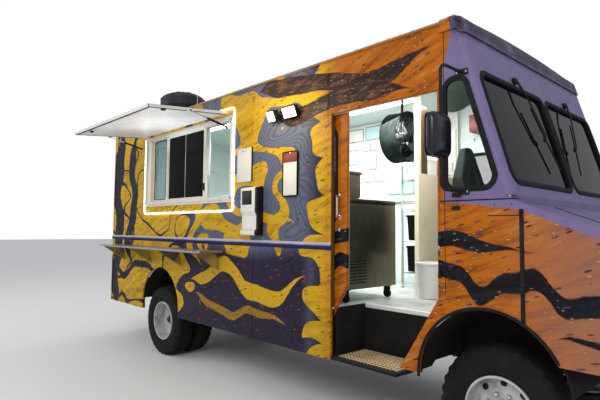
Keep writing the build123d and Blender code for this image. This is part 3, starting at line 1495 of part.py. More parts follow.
# Kitchen seen through the doorway: prep fridge on casters, drum fan, shelving and lights
fridge_front_x = front_axle_x - 1310
fridge_length = 1200
fridge_low_z = 1000
fridge_top = 1765
fridge_right_y = right_y + 250
fridge_depth = 690
with BuildPart() as fridge:
    with BuildSketch(Plane.XY.offset(fridge_low_z)):
        with Locations((fridge_front_x - fridge_length / 2, fridge_right_y + fridge_depth / 2)):
            Rectangle(fridge_length, fridge_depth)
    extrude(amount=fridge_top - fridge_low_z)
    with BuildSketch(Plane.XY.offset(deck_top)):
        with Locations((fridge_front_x - fridge_length / 2, fridge_right_y + fridge_depth / 2)):
            with GridLocations(fridge_length - 120, fridge_depth - 120, 2, 2):
                Rectangle(70, 40)
    extrude(amount=fridge_low_z - deck_top)
keep(fridge.part, "fridge")

with BuildPart() as drum_fan:
    drum_x = front_axle_x - 1660
    drum_y = right_y + 1400
    drum_z = 2455
    with BuildSketch(Plane.YZ.offset(drum_x)):
        with Locations((drum_y, drum_z)):
            Circle(260)
            Circle(250, mode=Mode.SUBTRACT)
            Rectangle(504, 20)
            Rectangle(20, 504)
            Circle(70)
    extrude(amount=200)
    with BuildSketch(Plane.XY.offset(drum_z + 255)):
        with Locations((drum_x + 100, drum_y)):
            Circle(14)
    extrude(amount=roof_z(drum_y) - roof_sheet - seat_gap - drum_z - 256)
keep(drum_fan.part, "drum_fan")

# Wire shelving against the left wall, as posts and thin shelves
rack_x = front_axle_x - 1500
rack_length = 460
rack_depth = 420
rack_y = left_y - pocket - 10 - rack_depth / 2
rack_height = 1300
rack_post = 13
rack_shelves = (150, 480, 810, 1140)
with BuildPart() as kitchen_rack:
    with BuildSketch(Plane.XY.offset(deck_top + seat_gap)):
        with Locations((rack_x, rack_y)):
            with GridLocations(rack_length - 2 * rack_post, rack_depth - 2 * rack_post, 2, 2):
                Circle(rack_post)
    extrude(amount=rack_height)
    for shelf_height in rack_shelves:
        with BuildSketch(Plane.XY.offset(deck_top + shelf_height)):
            with Locations((rack_x, rack_y)):
                Rectangle(rack_length, rack_depth)
        extrude(amount=12)
keep(kitchen_rack.part, "kitchen_rack")

# White post and half partition between cab and kitchen, up to the roof
post_x = front_axle_x - 1220
post_y = right_y + 1165
post_size = 45
with BuildPart() as partition:
    with BuildSketch(Plane.XY.offset(deck_top + seat_gap)):
        with Locations((post_x, post_y)):
            Rectangle(post_size, post_size)
    extrude(amount=roof_z(post_y + post_size / 2) - roof_sheet - 1 - deck_top)
    with BuildSketch(Plane.XY.offset(deck_top + seat_gap)):
        with Locations((post_x, (post_y + left_y - pocket - 5) / 2)):
            Rectangle(25, left_y - pocket - 5 - post_y)
    extrude(amount=1150)
keep(partition.part, "partition")

# Ceiling lamps in white trays
lamp_length = 1250
lamp_width = 130
with BuildPart() as ceiling_lamps:
    for lamp_x, lamp_y in ((front_axle_x - 1900, centre_y - 235), (front_axle_x - 3900, centre_y - 235)):
        with BuildSketch(Plane.XY.offset(roof_z(lamp_y - lamp_width / 2) - roof_sheet - 1 - 60)):
            with Locations((lamp_x, lamp_y)):
                RectangleRounded(lamp_length, lamp_width, 12)
        extrude(amount=60)
keep(ceiling_lamps.part, "ceiling_lamps")
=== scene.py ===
from math import cos, pi, radians, sin, sqrt, tan
import bmesh
import bpy
from mathutils import Matrix, Vector


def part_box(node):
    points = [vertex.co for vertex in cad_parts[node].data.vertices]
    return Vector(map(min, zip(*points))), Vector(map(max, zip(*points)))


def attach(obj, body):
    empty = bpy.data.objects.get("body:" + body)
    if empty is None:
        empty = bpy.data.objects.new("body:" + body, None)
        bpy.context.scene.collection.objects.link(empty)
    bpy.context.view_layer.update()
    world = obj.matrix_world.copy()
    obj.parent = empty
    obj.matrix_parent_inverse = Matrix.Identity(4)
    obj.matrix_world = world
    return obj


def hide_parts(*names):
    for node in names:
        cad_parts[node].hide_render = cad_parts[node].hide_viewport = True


# Food truck on a step van body: paint, trims, wheels, fittings and the kitchen behind its windows
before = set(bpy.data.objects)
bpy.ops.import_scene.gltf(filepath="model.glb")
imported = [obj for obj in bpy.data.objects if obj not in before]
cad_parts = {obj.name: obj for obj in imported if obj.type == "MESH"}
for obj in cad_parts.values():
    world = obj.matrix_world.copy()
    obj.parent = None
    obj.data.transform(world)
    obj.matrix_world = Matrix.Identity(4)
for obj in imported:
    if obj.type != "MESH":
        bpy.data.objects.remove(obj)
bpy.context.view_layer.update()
print("frame loaded:", len(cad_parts), "nodes")

# Places of the van, in metres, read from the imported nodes
tyreLow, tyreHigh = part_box("front_tyre_right")
roofLow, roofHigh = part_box("roof")
axleX = (tyreLow.x + tyreHigh.x) / 2
middleY = (roofLow.y + roofHigh.y) / 2
halfWidth = (roofHigh.y - roofLow.y) / 2
rightY, leftY = middleY - halfWidth, middleY + halfWidth
rearX, jambX, doorX = axleX - 5.452, axleX - 1.243, axleX - 0.302
seamX, noseX = axleX + 0.223, axleX + 0.85
screenX, screenZ = axleX + 0.185, 1.709
wheelZ, deckZ, roofRise = 0.4, 0.89, 0.05
frontLean = tan(radians(16.5))
forwardWay, leftWay, upWay = Vector((1, 0, 0)), Vector((0, 1, 0)), Vector((0, 0, 1))
leanUp = Vector((-frontLean, 0, 1)).normalized()
leanOut = Vector((1, 0, frontLean)).normalized()
sideNames = {-1: "right", 1: "left"}
square = ((-1, -1), (1, -1), (1, 1), (-1, 1))


def frontX(z):
    # the leaning windscreen's outer face at a height
    return screenX - (z - screenZ) * frontLean


def at(station):
    return axleX + station / 1000


def sideY(side, out=0.0):
    # a place on a side's outer face, moved outward
    return middleY + side * (halfWidth + out)


def roofHeight(y):
    # the crowned roof's outer face
    bend = (halfWidth ** 2 + roofRise ** 2) / (2 * roofRise)
    return roofHigh.z - bend + sqrt(bend ** 2 - (y - middleY) ** 2)


def circle(count, turn=0.0):
    # cosines and sines once round, turned by a share of a step
    return [(cos(2 * pi * (i + turn) / count), sin(2 * pi * (i + turn) / count)) for i in range(count)]


# Body paint: brushed yellow turning to orange at the door, dark flowing ribbons, pale cab top
palette = {
    "yellow": "#CCA008", "gold": "#A07A06", "orange": "#B46200", "rust": "#7E3C02", "slate": "#5A6478",
    "indigo": "#1B1D52", "navy": "#080820", "ink": "#04040C", "brown": "#2E1A12", "umber": "#6A4632",
    "cream": "#DCC98C", "leaf": "#44582A", "rose": "#8E3226", "plum": "#4A3050", "pink": "#8C6A60",
    "pale": "#776C94", "haze": "#5A4F78", "capFootDark": "#1C1920", "roof": "#B9B6BC", "roofDirt": "#6F6862",
    "tan": "#9C7434", "worn": "#B9B7C6", "mud": "#2E261E", "inner": "#D6E4E1", "smudge": "#B9B7A9",
    "under": "#15130F",
}
# columns: across or along, middle, swing, waves a metre, phase, half width, start, end, colour
ribbons = (
    ("along", 2.700, 0.060, 3.1, 0.3, 0.085, 0.10, 2.02, "brown"),
    ("along", 2.510, 0.050, 4.2, 2.2, 0.075, 0.35, 1.90, "brown"),
    ("across", -2.960, 0.080, 5.1, 0.4, 0.150, 0.40, 3.00, "ink"),
    ("across", -2.540, 0.060, 6.3, 2.6, 0.095, 1.00, 2.90, "navy"),
    ("along", 1.560, 0.070, 5.3, 0.6, 0.050, -1.00, 0.75, "yellow"),
    ("along", 1.020, 0.110, 4.6, 3.4, 0.080, -1.05, 0.85, "yellow"),
    ("along", 0.740, 0.050, 6.1, 0.8, 0.045, -0.95, 0.70, "gold"),
    ("along", 0.980, 0.080, 5.7, 1.3, 0.055, -3.60, -1.55, "navy"),
    ("along", 1.420, 0.030, 8.2, 3.3, 0.062, 1.60, 2.62, "ink"),
    ("along", 1.190, 0.062, 12.5, 1.2, 0.062, 1.60, 3.95, "ink"),
    ("along", 0.960, 0.018, 16.0, 0.4, 0.024, 2.62, 3.55, "ink"),
)


def linear(code):
    # a palette name or a web colour
    code = palette.get(code, code)
    parts = [int(code[i:i + 2], 16) / 255 for i in (1, 3, 5)]
    return tuple(c / 12.92 if c <= 0.04045 else ((c + 0.055) / 1.055) ** 2.4 for c in parts) + (1,)


class Wire:
    # a node's output, which can be used in plain sums
    def __init__(self, finish, socket):
        self.finish, self.socket = finish, socket

    def __rsub__(self, other):
        return self.finish.maths("SUBTRACT", other, self)


for sign, operation in {"add": "ADD", "radd": "ADD", "sub": "SUBTRACT", "mul": "MULTIPLY", "rmul": "MULTIPLY",
                        "lt": "LESS_THAN", "gt": "GREATER_THAN"}.items():
    setattr(Wire, f"__{sign}__", lambda self, other, kind=operation: self.finish.maths(kind, self, other))


class Finish:
    # one node material on a Principled shader
    def __init__(self, name, **constants):
        self.material = bpy.data.materials.new(name)
        self.material.use_nodes = True
        self.tree = self.material.node_tree
        self.shader = self.tree.nodes["Principled BSDF"]
        self.set(**constants)

    def plug(self, target, value):
        if isinstance(value, Wire):
            self.tree.links.new(value.socket, target)
        else:
            target.default_value = linear(value) if isinstance(value, str) else value

    def set(self, **values):
        for name, value in values.items():
            self.plug(self.shader.inputs[name.replace("_", " ")], value)

    def node(self, kind, sockets, out=0, **settings):
        made = self.tree.nodes.new("ShaderNode" + kind)
        for name, value in settings.items():
            setattr(made, name, value)
        for name, value in sockets.items():
            self.plug(made.inputs[name], value)
        return Wire(self, made.outputs[out])

    def maths(self, operation, *values):
        return self.node("Math", dict(enumerate(values)), operation=operation)

    def blend(self, share, under, over):
        return self.node("Mix", {0: share, 6: under, 7: over}, 2, data_type="RGBA")

    def smooth(self, value, low, high):
        return self.node("MapRange", {"Value": value, "From Min": low, "From Max": high},
                         interpolation_type="SMOOTHSTEP")

    def place(self):
        return self.node("TexCoord", {}, "Object")

    def parts(self, vector):
        split = self.node("SeparateXYZ", {0: vector}).socket.node
        return [Wire(self, split.outputs[i]) for i in range(3)]

    def joined(self, x, y, z):
        return self.node("CombineXYZ", {0: x, 1: y, 2: z})

    def noise(self, vector, scale, detail=3.0, rough=0.55, out="Fac"):
        return self.node("TexNoise", {"Vector": vector, "Scale": scale, "Detail": detail, "Roughness": rough},
                         out)

    def cells(self, vector, scale, out="Distance"):
        return self.node("TexVoronoi", {"Vector": vector, "Scale": scale}, out)

    def relief(self, height, depth, strength):
        bump = self.node("Bump", {"Strength": strength, "Distance": depth, "Height": height}, "Normal")
        self.set(Normal=bump)


def paintBody(name, insideDepth, slid=0.0):
    # the outside carries the flowing pattern and the inside is plain white
    skin = Finish(name, Coat_Weight=0.05, Coat_Roughness=0.2, Specular_IOR_Level=0.15)
    blend, smooth, noise, joined, maths = skin.blend, skin.smooth, skin.noise, skin.joined, skin.maths
    place = skin.place()
    x, y, z = skin.parts(place)
    if slid:
        # a door that stands open is painted as it lies when shut
        x = x + slid
        place = joined(x, y, z)
    side = y - middleY
    off = maths("ABSOLUTE", side)
    forward = (x > 0.0) * 2.0 - 1.0
    along = x + forward * (halfWidth - off)
    turn = (side > 0.0) * 1.9
    sway = skin.parts(noise(place, 1.1, 1.0, out="Color"))
    u = along + (sway[0] - 0.5) * 0.30
    v = z + (sway[1] - 0.5) * 0.22
    fibre = noise(joined(along * 7.0, y * 7.0, z * 26.0), 1.0, 4.0, 0.7)
    streak = noise(joined(u * 1.6 + v * 3.0, side, v * 16.0 - u * 6.0), 1.2, 4.0, 0.65)
    bristle = (fibre - 0.5) * 0.035
    # ground colour
    warm = smooth(along + (sway[2] - 0.5) * 0.4, 0.92, 1.25)
    ground = blend(warm, "yellow", "orange")
    deep = blend(warm, "gold", "rust")
    colour = blend(smooth(streak, 0.42, 0.72), ground, deep)
    colour = blend(smooth(streak, 0.30, 0.42) * -0.16 + 0.16, colour, "cream")
    colour = blend(smooth(along, seamX - 0.25, seamX + 0.4) * (streak * 0.6 + 0.3), colour, "pink")
    # flowing swirls along the level lines of a slow noise, dense beside the door and low down
    slow = noise(joined(u * 0.8, side * 0.5, v * 1.25), 1.15, 1.6, 0.45)
    ahead = 1.0 - smooth(along, 0.72, 0.98)
    middle = smooth(along, -1.25, -0.70) * ahead
    low = smooth(along, -1.60, -1.10) * ahead * (1.0 - smooth(v, 1.22, 1.42))
    level = maths("SINE", slow * 46.0 + u * 1.2) - 0.90 + middle * 1.32 + low * 0.75 - warm * 0.35
    flow = smooth(level + bristle * 3.0, 0.0, 0.08)
    hair = maths("SINE", slow * 430.0 + fibre * 4.0) * 0.5 + 0.5
    cool = blend(maths("MAXIMUM", low, 1.0 - middle), "slate", "navy")
    cool = blend(hair * 0.45, cool, "indigo")
    colour = blend(hair * middle * 0.25, colour, "gold")
    colour = blend(flow * 0.985, colour, cool)
    # ribbons that taper at both ends
    for way, level, swing, waves, phase, width, start, end, shade in ribbons:
        run, rise = (u, v) if way == "along" else (v, u)
        path = maths("SINE", run * waves + phase + turn) * swing
        path = path + maths("SINE", run * (waves * 2.3) + phase * 1.7) * (swing * 0.3)
        fade = smooth(run, start, start + 0.3) * (1.0 - smooth(run, end - 0.5, end))
        inside = fade * width - maths("ABSOLUTE", rise - path - level) + bristle
        tone = blend(smooth(streak, 0.40, 0.75) * 0.10, shade, "slate")
        if shade == "brown":
            tone = blend(smooth(fibre, 0.45, 0.62) * smooth(inside, 0.010, 0.035), tone, "umber")
        tone = blend(hair * 0.30, tone, "gold" if shade == "yellow" else "ink")
        colour = blend(smooth(inside, 0.0, 0.012), colour, tone)
    # short dabs of the brush
    slanted = joined(u * 0.8 + v * 0.3, side, v * 3.0 - u * 0.9)
    kind = skin.parts(skin.cells(slanted, 12.0, "Color"))
    dab = smooth(0.26 - skin.cells(slanted, 12.0) + bristle, 0.0, 0.05) * (kind[0] < 0.46)
    shade = blend(middle, "plum", "rose")
    shade = blend(kind[1] > 0.5, shade, "leaf")
    shade = blend(kind[2] > 0.62, shade, "brown")
    colour = blend(dab * 0.85, colour, shade)
    fleck = smooth(0.20 - skin.cells(joined(u * 2.0, side, v * 5.0), 9.0), 0.0, 0.05)
    mark = blend(streak > 0.5, "rust", "cream")
    colour = blend(fleck * (1.0 - flow * 0.75) * 0.34, colour, mark)
    # tan gutter band, pale cab top and shoulder, a dark band along the cap's foot over the windscreen, and
    # the roof
    colour = blend((z > 2.838) * (x < axleX - 0.24) * 0.75, colour, "tan")
    edge = 1.675 - maths("MAXIMUM", x - (axleX - 0.22), 0.0) * 0.13 - maths("MAXIMUM", x - seamX, 0.0) * 0.28
    rear = axleX - 0.262 + smooth(z, 2.48, 2.84) * 0.060 + (z > 2.90) * 9.0
    cab = (x > rear + bristle * 0.3) * smooth(z - edge + bristle * 0.4, 0.0, 0.006)
    soft = noise(place, 5.0, 5.0, 0.7)
    wash = blend(smooth(soft, 0.45, 0.75) * 0.5, "pale", "haze")
    # darker in a noisy band at the top of the header, along the front cap's foot
    capFootDark = smooth(z, 2.70, 2.80) * smooth(x, axleX - 0.23, axleX - 0.16) * smooth(soft, 0.28, 0.50)
    wash = blend(capFootDark * 0.85, wash, "capFootDark")
    colour = blend(cab, colour, wash)
    roofWash = blend(smooth(soft, 0.42, 0.72) * 0.6, "roof", "roofDirt")
    top = z + side * side * (roofRise / halfWidth ** 2) > 2.912
    colour = blend(top * (x < axleX - 0.22), colour, roofWash)
    # rub rail: navy with a painted highlight along its pale top
    rail = (z > 1.336) * (z < 1.402) * (off > halfWidth + 0.003)
    # the rail's top turns pale as a painted highlight
    colour = blend(rail, colour, blend(smooth(z + bristle * 0.5, 1.366, 1.386) * 0.85, "indigo", "worn"))
    # road dirt low down, and the plain inside
    mud = (1.0 - smooth(z, 0.5, 0.95)) * smooth(noise(place, 4.0, 5.0, 0.7), 0.4, 0.65)
    colour = blend(mud * 0.35, colour, "mud")
    screenPlane = x + maths("MAXIMUM", z - screenZ, 0.0) * frontLean
    within = (off < halfWidth - insideDepth) * (x > rearX + 0.02)
    within = within * (screenPlane < screenX - 0.03) * (1.0 - top)
    plain = blend(smooth(noise(place, 2.3, 5.0, 0.65), 0.5, 0.8) * 0.35, "inner", "smudge")
    plain = blend(z < 0.885, plain, "under")
    skin.set(Base_Color=blend(within, colour, plain), Roughness=0.42 + streak * 0.2)
    skin.relief(streak * 0.6 + fibre * 0.4, 0.0015, 0.5)
    return skin.material


def metal(name, colour, rough, grain=40.0, worn="#6B6B69", wear=0.25, across=(1, 1, 1), metallic=1.0):
    # bare or brushed metal with grime in its low spots
    skin = Finish(name, Metallic=metallic)
    place = skin.node("VectorMath", {0: skin.place(), 1: across}, operation="MULTIPLY")
    cloud = skin.noise(place, 6.0, 4.0, 0.6)
    fine = skin.noise(place, grain, 3.0, 0.6)
    skin.set(Base_Color=skin.blend(skin.smooth(cloud, 0.45, 0.8) * wear, colour, worn),
             Roughness=rough + (fine - 0.5) * 0.25)
    skin.relief(fine, 0.0006, 0.4)
    return skin.material


def paint(name, colour, dirt, rough=0.4, share=0.35, scale=3.0, gloss=0.4):
    # plain paint with soft dirt and a slight orange peel
    skin = Finish(name, Coat_Weight=gloss * 0.4, Coat_Roughness=0.25, Specular_IOR_Level=gloss)
    cloud = skin.noise(skin.place(), scale, 6.0, 0.65)
    skin.set(Base_Color=skin.blend(skin.smooth(cloud, 0.45, 0.75) * share, colour, dirt),
             Roughness=rough + (cloud - 0.5) * 0.3)
    skin.relief(skin.noise(skin.place(), 90.0, 2.0), 0.0004, 0.4)
    return skin.material


def glass(name, colour, see, rough=0.04, front=0.0, haze="#9FB0B2"):
    # thin glazing with grime; front adds to its cover over the windscreen and dulls it, so the windscreen is
    # all but opaque dark glass: painted shade and painted dark reflection
    coat, specular = (0.06, 0.06) if front else (0.9, 0.3)
    skin = Finish(name, Coat_Weight=coat, Coat_Roughness=0.02, Roughness=rough, Specular_IOR_Level=specular)
    cloud = skin.noise(skin.place(), 2.5, 5.0, 0.7)
    x, y, z = skin.parts(skin.place())
    screen = (x + z * frontLean > screenX - 0.03 + screenZ * frontLean) * front
    skin.set(Base_Color=skin.blend(cloud * 0.6, colour, haze), Alpha=see + screen + (cloud - 0.5) * 0.08)
    return skin.material


def glow(name, colour, strength):
    skin = Finish(name, Roughness=0.3, Emission_Strength=strength)
    tint = skin.blend(skin.noise(skin.place(), 30.0, 2.0) * 0.15, colour, "#FFFFFF")
    skin.set(Base_Color=tint, Emission_Color=tint)
    return skin.material


def rubber(name, colour="#0D0D0E", dust="#3A3733", rough=0.75, share=0.3, gloss=0.3):
    skin = Finish(name, Specular_IOR_Level=gloss)
    cloud = skin.noise(skin.place(), 7.0, 6.0, 0.7)
    skin.set(Base_Color=skin.blend(skin.smooth(cloud, 0.4, 0.8) * share, colour, dust),
             Roughness=rough + cloud * 0.1)
    skin.relief(skin.noise(skin.place(), 160.0, 2.0), 0.0008, 0.5)
    return skin.material


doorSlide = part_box("left_door")[0].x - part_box("right_door")[0].x
finishes = {
    "body": paintBody("bodyMural", 0.02),
    "door": paintBody("doorMural", 0.0725),
    "openDoor": paintBody("openDoorMural", 0.0725, doorSlide),
    "frame": paint("frameBlack", "#121216", "#3B3027", 0.6, 0.5, 5.0, 0.25),
    "iron": metal("ironDark", "#3A3734", 0.6, 60.0, "#4E3322", 0.6, metallic=0.7),
    "white": paint("whitePaint", "#E4E4DF", "#A9A698", 0.45, 0.3),
    "roof": paint("roofPaint", "#BDB4D2", "#6E6474", 0.5, 0.55, 2.0),
    "deck": paint("deckPale", "#B2B4B0", "#66635C", 0.45, 0.5, 4.0),
    "tread": metal("treadPlate", "#DCC290", 0.45, 50.0, "#8A7450", 0.45, metallic=0.25),
    "sage": paint("sagePlastic", "#8B968A", "#5C665E", 0.5, 0.6, 9.0),
    "crate": paint("greyBrown", "#5C4F44", "#2E2722", 0.5, 0.5, 9.0),
    "steel": metal("brushedSteel", "#B9B8B2", 0.3, 30.0, "#7E7C74", 0.35, across=(1, 1, 14)),
    "bright": metal("brightPlate", "#D2D4D6", 0.12, 60.0, "#8C8C8C", 0.15),
    "alloy": metal("windowAlloy", "#CFD3D4", 0.35, 40.0, "#8D9090", 0.25),
    "awning": paint("awningSkin", "#DEDEDC", "#9A9CA2", 0.4, 0.35),
    "black": paint("blackPlastic", "#0C0C0E", "#262628", 0.45, 0.4, 12.0, 0.25),
    "board": paint("menuBlack", "#070708", "#222426", 0.7, 0.4, 9.0, 0.08),
    "brown": paint("boardHeader", "#7C3320", "#4A2218", 0.5, 0.3, 9.0),
    "plate": paint("plateWhite", "#DEDCD2", "#A8A498", 0.45, 0.3, 5.0),
    "bone": paint("bonePanel", "#E4DAC0", "#B9A988", 0.45, 0.4, 5.0),
    "cream": paint("creamStrip", "#CDB98A", "#8C7A52", 0.5, 0.4, 6.0),
    "rubber": rubber("blackRubber"),
    "tyre": rubber("tyreRubber", "#0D0D0D", "#35302A", 0.85, 0.35),
    "rim": paint("rimPaint", "#B9BABB", "#4A4038", 0.45, 0.6, 8.0),
    "glass": glass("clearGlass", "#1C2A2C", 0.22),
    # near-black cab glass, all but opaque over the windscreen: painted shade of the cab and painted dark
    # reflection
    "cabGlass": glass("cabGlass", "#040608", 0.16, front=0.83, haze="#12181C"),
    "teal": glass("tealGlass", "#5A8F94", 0.55, 0.08),
    "warm": glow("warmLens", "#FFE7A0", 6.0),
    "cool": glow("coolTube", "#EAF4FF", 4.0),
    "amber": paint("amberLens", "#D9781E", "#8C3E08", 0.15, 0.4, 30.0),
    "red": paint("redLens", "#8E1410", "#4A0806", 0.15, 0.4, 30.0),
    "lens": glass("lampLens", "#D8E0E2", 0.45, 0.05),
    "brownPaint": paint("jambBrown", "#5A4128", "#2A1C12", 0.5, 0.5, 9.0),
    "fanMetal": metal("fanMetal", "#1D2222", 0.6, 50.0, "#101212", 0.5, metallic=0.15),
    "cyan": paint("cyanSheet", "#B4D6D6", "#8FB0B0", 0.4, 0.4, 5.0),
    "sill": paint("windowWhite", "#DAD8CC", "#9C9A8C", 0.4, 0.35, 6.0),
    "drum": rubber("drumSteel", "#151C1A", "#3C4643", 0.7, 0.6, 0.06),
    "guard": rubber("guardWire", "#0A0D0C", "#202625", 0.7, 0.5, 0.06),
    "mirror": paint("mirrorBlack", "#0E0E1E", "#24222C", 0.18, 0.3, 12.0),
    "cold": metal("fridgeSteel", "#6E6A5C", 0.34, 30.0, "#3A362C", 0.5, across=(1, 6, 1)),
    "tubeGlow": glow("tubeGlow", "#F2F8FF", 14.0),
    "vinyl": rubber("seatVinyl", "#07100D", "#2A3E36", 0.5, 0.5, 0.18),
}

# Each carried node's finish
nodeFinish = {
    "body": "right_wall left_wall rear_wall cab_sides cab_front nose rear_door_right "
            "rear_door_left hood roof",
    "door": "left_door",
    "openDoor": "right_door",
    "frame": "chassis_frame underbody bumpers grille",
    "iron": "front_axle rear_axle leaf_springs engine knuckle_right knuckle_left track_rod",
    "deck": "floor",
    "rubber": "step_wells wheel_houses",
    "glass": "right_door_glass left_door_glass",
    "cabGlass": "cab_glass",
    "sill": "serving_frame",
    "teal": "serving_pane",
    "board": "menu_board",
    "cool": "light_rope",
    "black": "dash strut_tubes",
    "steel": "shelf",
    "bone": "partition",
    "awning": "awning",
    "bright": "strut_rods",
    "rim": "front_rim_right front_rim_left rear_rims_right rear_rims_left",
}
for finish, carried in nodeFinish.items():
    for name in carried.split():
        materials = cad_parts[name].data.materials
        materials.clear()
        materials.append(finishes[finish])
print("materials ready")


class Piece:
    # one visible piece put together from closed forms, each in the finish in use
    def __init__(self, name, finish):
        self.name, self.points, self.faces, self.marks, self.used = name, [], [], [], []
        self.use(finish)

    def use(self, finish):
        if finish not in self.used:
            self.used.append(finish)
        self.mark = self.used.index(finish)
        return self

    def add(self, points, faces):
        start = len(self.points)
        self.points += [tuple(point) for point in points]
        self.faces += [[start + i for i in face] for face in faces]
        self.marks += [self.mark] * len(faces)

    def loft(self, rows, closed=False):
        # rows of points joined one to the next, with flat ends where they aren't closed
        count, n = len(rows), len(rows[0])
        faces = [] if closed else [list(range(n)), list(range((count - 1) * n, count * n))]
        for i in range(count if closed else count - 1):
            a, b = i * n, (i + 1) % count * n
            faces += [[a + j, a + (j + 1) % n, b + (j + 1) % n, b + j] for j in range(n)]
        self.add([p for row in rows for p in row], faces)

    def form(self, shape, edges, soft, steps, origin=Vector()):
        if soft:
            bmesh.ops.bevel(shape, geom=edges, offset=soft, segments=steps, affect="EDGES", profile=0.5)
        shape.verts.index_update()
        self.add([v.co + origin for v in shape.verts], [[v.index for v in f.verts] for f in shape.faces])
        shape.free()

    def block(self, low, high, soft=0.0, steps=2):
        # a squared body with soft edges between two opposite corners
        low, high = Vector(low), Vector(high)
        shape = bmesh.new()
        bmesh.ops.create_cube(shape, size=1.0)
        for v in shape.verts:
            v.co = Vector(a * abs(b) for a, b in zip(v.co, high - low))
        self.form(shape, shape.edges[:], soft, steps, (low + high) / 2)

    def blocks(self, origin, side, rows):
        # columns: finish, span along, span outward, span in height, softness
        x, y, z = origin
        for finish, x0, x1, y0, y1, z0, z1, soft in rows:
            self.use(finish).block((x + x0, y + side * y0, z + z0), (x + x1, y + side * y1, z + z1), soft)

    def plate(self, outline, origin, across, up, depth, soft=0.0, steps=2):
        # a flat outline thickened along its normal
        normal = across.cross(up).normalized()
        base = onPlane(outline, origin, across, up)
        shape = bmesh.new()
        low = [shape.verts.new(p) for p in base]
        high = [shape.verts.new(p + normal * depth) for p in base]
        shape.faces.new(low[::-1])
        shape.faces.new(high)
        for i in range(len(low)):
            shape.faces.new((low[i - 1], low[i], high[i], high[i - 1]))
        bmesh.ops.recalc_face_normals(shape, faces=shape.faces[:])
        self.form(shape, [e for e in shape.edges if e.calc_face_angle(0) > radians(30)], soft, steps)

    def rim(self, loop, normal, profile):
        # a closed section carried round a closed flat loop
        middle = sum(loop, Vector()) / len(loop)
        outs = []
        for i, point in enumerate(loop):
            a = (point - loop[i - 1]).normalized().cross(normal)
            b = (loop[(i + 1) % len(loop)] - point).normalized().cross(normal)
            out = (a + b).normalized()
            outs.append(out / max(0.4, out.dot(a)))
        if sum(out.dot(point - middle) for out, point in zip(outs, loop)) < 0:
            outs = [-out for out in outs]
        self.loft([[p + out * a + normal * b for a, b in profile] for p, out in zip(loop, outs)], True)

    def tube(self, path, radius, sides=8, closed=False):
        # a round bar along a path
        path = [Vector(p) for p in path]
        last = len(path) - 1
        rows = []
        for i, place in enumerate(path):
            before = path[i - 1] if (i or closed) else place
            after = path[(i + 1) % (last + 1)] if (i < last or closed) else place
            tangent = (after - before).normalized()
            across = across if i else tangent.orthogonal().normalized()
            across = (across - tangent * across.dot(tangent)).normalized()
            other = tangent.cross(across)
            size = radius[i] if isinstance(radius, (list, tuple)) else radius
            rows.append([place + (across * a + other * b) * size for a, b in circle(sides)])
        self.loft(rows, closed)

    def turned(self, origin, axis, profile, sides=24, closed=False):
        # a profile of radius and height turned about an axis
        origin, axis = Vector(origin), Vector(axis).normalized()
        across = axis.orthogonal().normalized()
        other = axis.cross(across)
        rows, points, faces = [], [], []
        for radius, along in profile:
            ring = circle(sides) if radius > 1e-6 else [(0.0, 0.0)]
            rows.append([len(points) + j % len(ring) for j in range(sides)])
            points += [origin + axis * along + (across * a + other * b) * radius for a, b in ring]
        for i in range(len(rows) if closed else len(rows) - 1):
            a, b = rows[i], rows[(i + 1) % len(rows)]
            for j in range(sides):
                corners = list(dict.fromkeys((a[j - 1], a[j], b[j], b[j - 1])))
                if len(corners) > 2:
                    faces.append(corners)
        if not closed:
            faces += [row for row in (rows[0], rows[-1]) if row[0] != row[1]]
        self.add(points, faces)

    def studs(self, places, normal, radius=0.006, rise=0.003, sides=6):
        for place in places:
            self.turned(place, normal, [(radius, -0.002), (radius, rise * 0.4), (radius * 0.5, rise)], sides)

    def done(self, body, slot, replaces=(), corner=35):
        mesh = bpy.data.meshes.new(self.name)
        mesh.from_pydata(self.points, [], self.faces)
        for finish in self.used:
            mesh.materials.append(finishes[finish])
        mesh.polygons.foreach_set("material_index", self.marks)
        shape = bmesh.new()
        shape.from_mesh(mesh)
        bmesh.ops.recalc_face_normals(shape, faces=shape.faces[:])
        shape.to_mesh(mesh)
        shape.free()
        mesh.shade_smooth()
        mesh.set_sharp_from_angle(angle=radians(corner))
        made = bpy.data.objects.new(self.name, mesh)
        bpy.context.scene.collection.objects.link(made)
        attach(made, body)
        if replaces:
            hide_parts(*replaces)
        return made


def roundedLoop(corners, radius, steps=6):
    # outline points with each corner rounded
    made = []
    for i, corner in enumerate(corners):
        here = Vector(corner)
        before, after = Vector(corners[i - 1]) - here, Vector(corners[(i + 1) % len(corners)]) - here
        half = before.angle(after) / 2
        reach = min(radius / tan(half), before.length * 0.49, after.length * 0.49)
        bend = reach * tan(half)
        start, end = here + before.normalized() * reach, here + after.normalized() * reach
        hub = here + (before.normalized() + after.normalized()).normalized() * (bend / sin(half))
        for step in range(steps + 1):
            made.append(hub + (start - hub).lerp(end - hub, step / steps).normalized() * bend)
    return [tuple(p) for p in made]


def onPlane(outline, origin, across, up):
    return [Vector(origin) + across * a + up * b for a, b in outline]


def between(x0, x1, z0, z1, radius, steps=6):
    # a rounded rectangle's outline between two corners
    return roundedLoop([(x0, z0), (x1, z0), (x1, z1), (x0, z1)], radius, steps)


def box2(width, height, radius, steps=6):
    return between(-width / 2, width / 2, -height / 2, height / 2, radius, steps)


